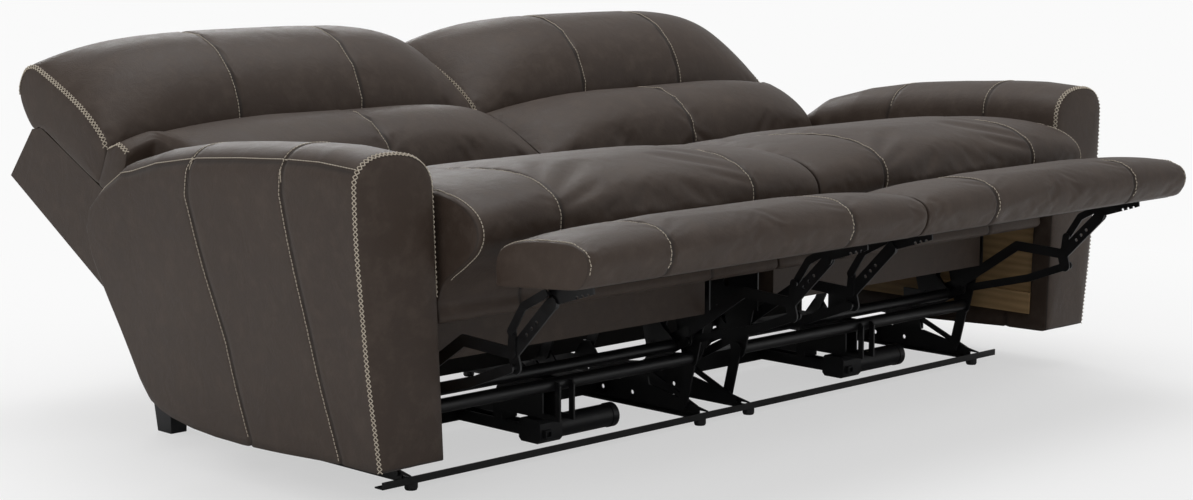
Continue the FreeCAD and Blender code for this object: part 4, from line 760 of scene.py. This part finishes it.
# Rays find where a seam lies: level ones from outside, then a fan about the middle of the crown.
SEAM_FOOT, SEAM_TOP = 96.0, 618.0
OUTSIDE = 1400.0
HEART_X, HEART_Z, FAN_RADIUS = 1040.0, 570.0, 300.0
FAN_START, FAN_SWEEP = 18.0, 150.0
SIDE_RAYS, FAN_RAYS = 100, 40


def on_arm(line, offset):
    """A seam's path over the arm: up the outer side, over the crown and a little way down inside."""
    path = []

    def cast(start, direction):
        point, normal = arm_tree.ray_cast(start, direction)[:2]
        if point:
            path.append((point, normal))

    for step in range(SIDE_RAYS):
        z = SEAM_FOOT + (SEAM_TOP - SEAM_FOOT) * step / (SIDE_RAYS - 1)
        cast(at(OUTSIDE, read_off(line, z) + offset, z), Vector((-1.0, 0.0, 0.0)))
    y = read_off(line, 640.0) + offset
    heart = at(HEART_X, y, HEART_Z)
    for step in range(FAN_RAYS):
        angle = math.radians(FAN_START + FAN_SWEEP * step / (FAN_RAYS - 1))
        start = at(HEART_X + FAN_RADIUS * math.cos(angle), y, HEART_Z + FAN_RADIUS * math.sin(angle))
        cast(start, (heart - start).normalized())
    return path


def along_arm(numbers):
    """A sewn line through points of the arm's grid, as (point, normal) pairs."""
    points = [arm_mesh.vertices[number] for number in numbers]
    return [(point.co.copy(), point.normal.copy()) for point in points]


arm_plain = [on_arm(REAR_SEAM, TOPSTITCH_OFFSET), on_arm(FRONT_SEAM, TOPSTITCH_OFFSET)]
arm_plain.append(along_arm(row * arm_around + SHOULDER_COLUMN + 1 for row in range(2, len(arm_rows) - 3)))
# The crossed stitches go up the outer side, over the crown and part of the way down inside.
crossed_columns = SIDE_POINTS + 3 * ARC_POINTS
arm_crossed = [along_arm(arm_around + k for k in range(crossed_columns))]
for hand in ("right", "left"):
    mesh = arm_mesh.copy() if hand == "right" else other_hand(arm_mesh, "left_arm_leather")
    piece = smooth_piece(hand + "_arm_leather", mesh, leather)
    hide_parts(hand + "_arm_cover")
    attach(piece, "base")
    sew(hand + "_arm_topstitch", on_hand(hand, arm_plain), "base")
    sew(hand + "_arm_front_cross_stitch", on_hand(hand, arm_crossed), "base", **CROSS_STITCH)

# Back and seat boxes: plywood boards wrapped in the same leather, pulled tight over the edges and
# stapled out of sight.
def dress(nodes, material):
    """Gives drawn pieces their material."""
    for node in nodes:
        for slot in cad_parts[node].material_slots:
            slot.material = material


def both_hands(*names):
    return [hand + "_" + name for hand in ("left", "right") for name in names]


dress(both_hands("back_frame", "seat_frame"), leather)

# Rear board and footrest boards: plywood under stapled black cambric, a thin bonded dust cloth.
# Its fibres lie about 0.5 mm apart and are drawn at 2 mm so that they show.
cambric, tree, output = finish_material("black_bonded_dust_cloth")
place = add(tree, "ShaderNodeTexCoord").outputs["Object"]
fibres = add(tree, "ShaderNodeTexNoise", Vector=place, Scale=500.0, Detail=4.0)
lint = add(tree, "ShaderNodeMix", {"data_type": "RGBA"}, Factor=fibres.outputs["Fac"], i6=linear("#131211"),
           i7=linear("#272422"))
nap = add(tree, "ShaderNodeBump", Height=fibres.outputs["Fac"], Strength=0.25, Distance=0.0005)
cloth_face = add(tree, "ShaderNodeBsdfPrincipled", Base_Color=lint.outputs[2], Roughness=0.9,
                 Normal=nap.outputs[0])
tree.links.new(cloth_face.outputs[0], output.inputs["Surface"])
dress(["rear_board"] + both_hands("ottoman_board"), cambric)

# Mechanism: stamped strip steel and welded tube with a satin black powder coat, slightly worn
# at the edges, with an orange-peel texture that shows only in the highlights.
powder, tree, output = finish_material("satin_black_powder_coated_steel")
place = add(tree, "ShaderNodeTexCoord").outputs["Object"]
peel = add(tree, "ShaderNodeTexNoise", Vector=place, Scale=620.0, Detail=2.0)
dust = add(tree, "ShaderNodeTexNoise", Vector=place, Scale=30.0, Detail=5.0)
coat = add(tree, "ShaderNodeMix", {"data_type": "RGBA"}, Factor=dust.outputs["Fac"], i6=linear("#0c0c0d"),
           i7=linear("#161618"))
satin = add(tree, "ShaderNodeMapRange", Value=dust.outputs["Fac"], From_Min=0.3, From_Max=0.7,
            To_Min=0.30, To_Max=0.46)
skin_bump = add(tree, "ShaderNodeBump", Height=peel.outputs["Fac"], Strength=0.12, Distance=0.0004)
steel = add(tree, "ShaderNodeBsdfPrincipled", Base_Color=coat.outputs[2], Roughness=satin.outputs[0],
            Normal=skin_bump.outputs[0])
tree.links.new(steel.outputs[0], output.inputs["Surface"])
steel_nodes = ("base_rails", "front_swing_frame", "rear_swing_links", "seat_carriage", "back_brackets",
               "footrest_crank", "footrest_long_links", "footrest_lower_links", "footrest_stay_links",
               "ottoman_links", "ottoman_control_links", "ottoman_brackets", "drive_fork", "drive_nut")
dress(["front_floor_bar", "base_cross_tubes"] + both_hands(*steel_nodes), powder)

# Drives, glides, feet and switches: injection-moulded glass-filled nylon, black throughout. Its
# spark-eroded grain is fine, and a faint haze of handling lies over it.
nylon, tree, output = finish_material("black_moulded_nylon")
place = add(tree, "ShaderNodeTexCoord").outputs["Object"]
grain = add(tree, "ShaderNodeTexNoise", Vector=place, Scale=900.0, Detail=3.0)
haze = add(tree, "ShaderNodeTexNoise", Vector=place, Scale=14.0, Detail=3.0)
black = add(tree, "ShaderNodeMix", {"data_type": "RGBA"}, Factor=haze.outputs["Fac"], i6=linear("#0f0f11"),
            i7=linear("#19191c"))
rough = add(tree, "ShaderNodeMapRange", Value=haze.outputs["Fac"], From_Min=0.3, From_Max=0.7,
            To_Min=0.42, To_Max=0.58)
spark = add(tree, "ShaderNodeBump", Height=grain.outputs["Fac"], Strength=0.2, Distance=0.0003)
plastic = add(tree, "ShaderNodeBsdfPrincipled", Base_Color=black.outputs[2], Roughness=rough.outputs[0],
              Normal=spark.outputs[0], IOR=1.5)
tree.links.new(plastic.outputs[0], output.inputs["Surface"])
dress(["floor_glides", "rear_feet"] + both_hands("actuator", "switch_housing", "switch_rocker"), nylon)

# Seat springs: sinuous spring steel wire hooked across the seat box, dark grey under a thin film
# of oil.
wire, tree, output = finish_material("oiled_spring_wire")
place = add(tree, "ShaderNodeTexCoord").outputs["Object"]
scale = add(tree, "ShaderNodeTexNoise", Vector=place, Scale=160.0, Detail=4.0)
film = add(tree, "ShaderNodeMix", {"data_type": "RGBA"}, Factor=scale.outputs["Fac"], i6=linear("#5a5650"),
           i7=linear("#7d7871"))
oiled = add(tree, "ShaderNodeBsdfPrincipled", Base_Color=film.outputs[2], Metallic=1.0, Roughness=0.38)
tree.links.new(oiled.outputs[0], output.inputs["Surface"])
dress(both_hands("seat_springs"), wire)

# Arm frames: boxes of unfinished poplar plywood, seen where the covers leave them bare. The long
# pale tan grain runs along Y, with darker pores.
plywood, tree, output = finish_material("unfinished_poplar_plywood")
place = add(tree, "ShaderNodeTexCoord").outputs["Object"]
drawn = add(tree, "ShaderNodeMapping", Vector=place, Scale=(14.0, 2.2, 14.0))
grain = add(tree, "ShaderNodeTexNoise", Vector=drawn.outputs[0], Scale=3.0, Detail=7.0, Roughness=0.62,
            Distortion=0.6)
figure = add(tree, "ShaderNodeTexWave", {"wave_type": "BANDS", "bands_direction": "Z"},
             Vector=drawn.outputs[0], Scale=1.3, Distortion=5.0, Detail=3.0)
wood = add(tree, "ShaderNodeMix", {"data_type": "RGBA"}, Factor=grain.outputs["Fac"], i6=linear("#8a6b45"),
           i7=linear("#c3a477"))
ring_tone = add(tree, "ShaderNodeMix", {"data_type": "RGBA", "blend_type": "MULTIPLY"}, Factor=0.22,
                i6=wood.outputs[2], i7=figure.outputs["Color"])
pores = add(tree, "ShaderNodeBump", Height=grain.outputs["Fac"], Strength=0.2, Distance=0.0006)
board = add(tree, "ShaderNodeBsdfPrincipled", Base_Color=ring_tone.outputs[2], Roughness=0.68,
            Normal=pores.outputs[0])
tree.links.new(board.outputs[0], output.inputs["Surface"])
dress(both_hands("arm_frame"), plywood)
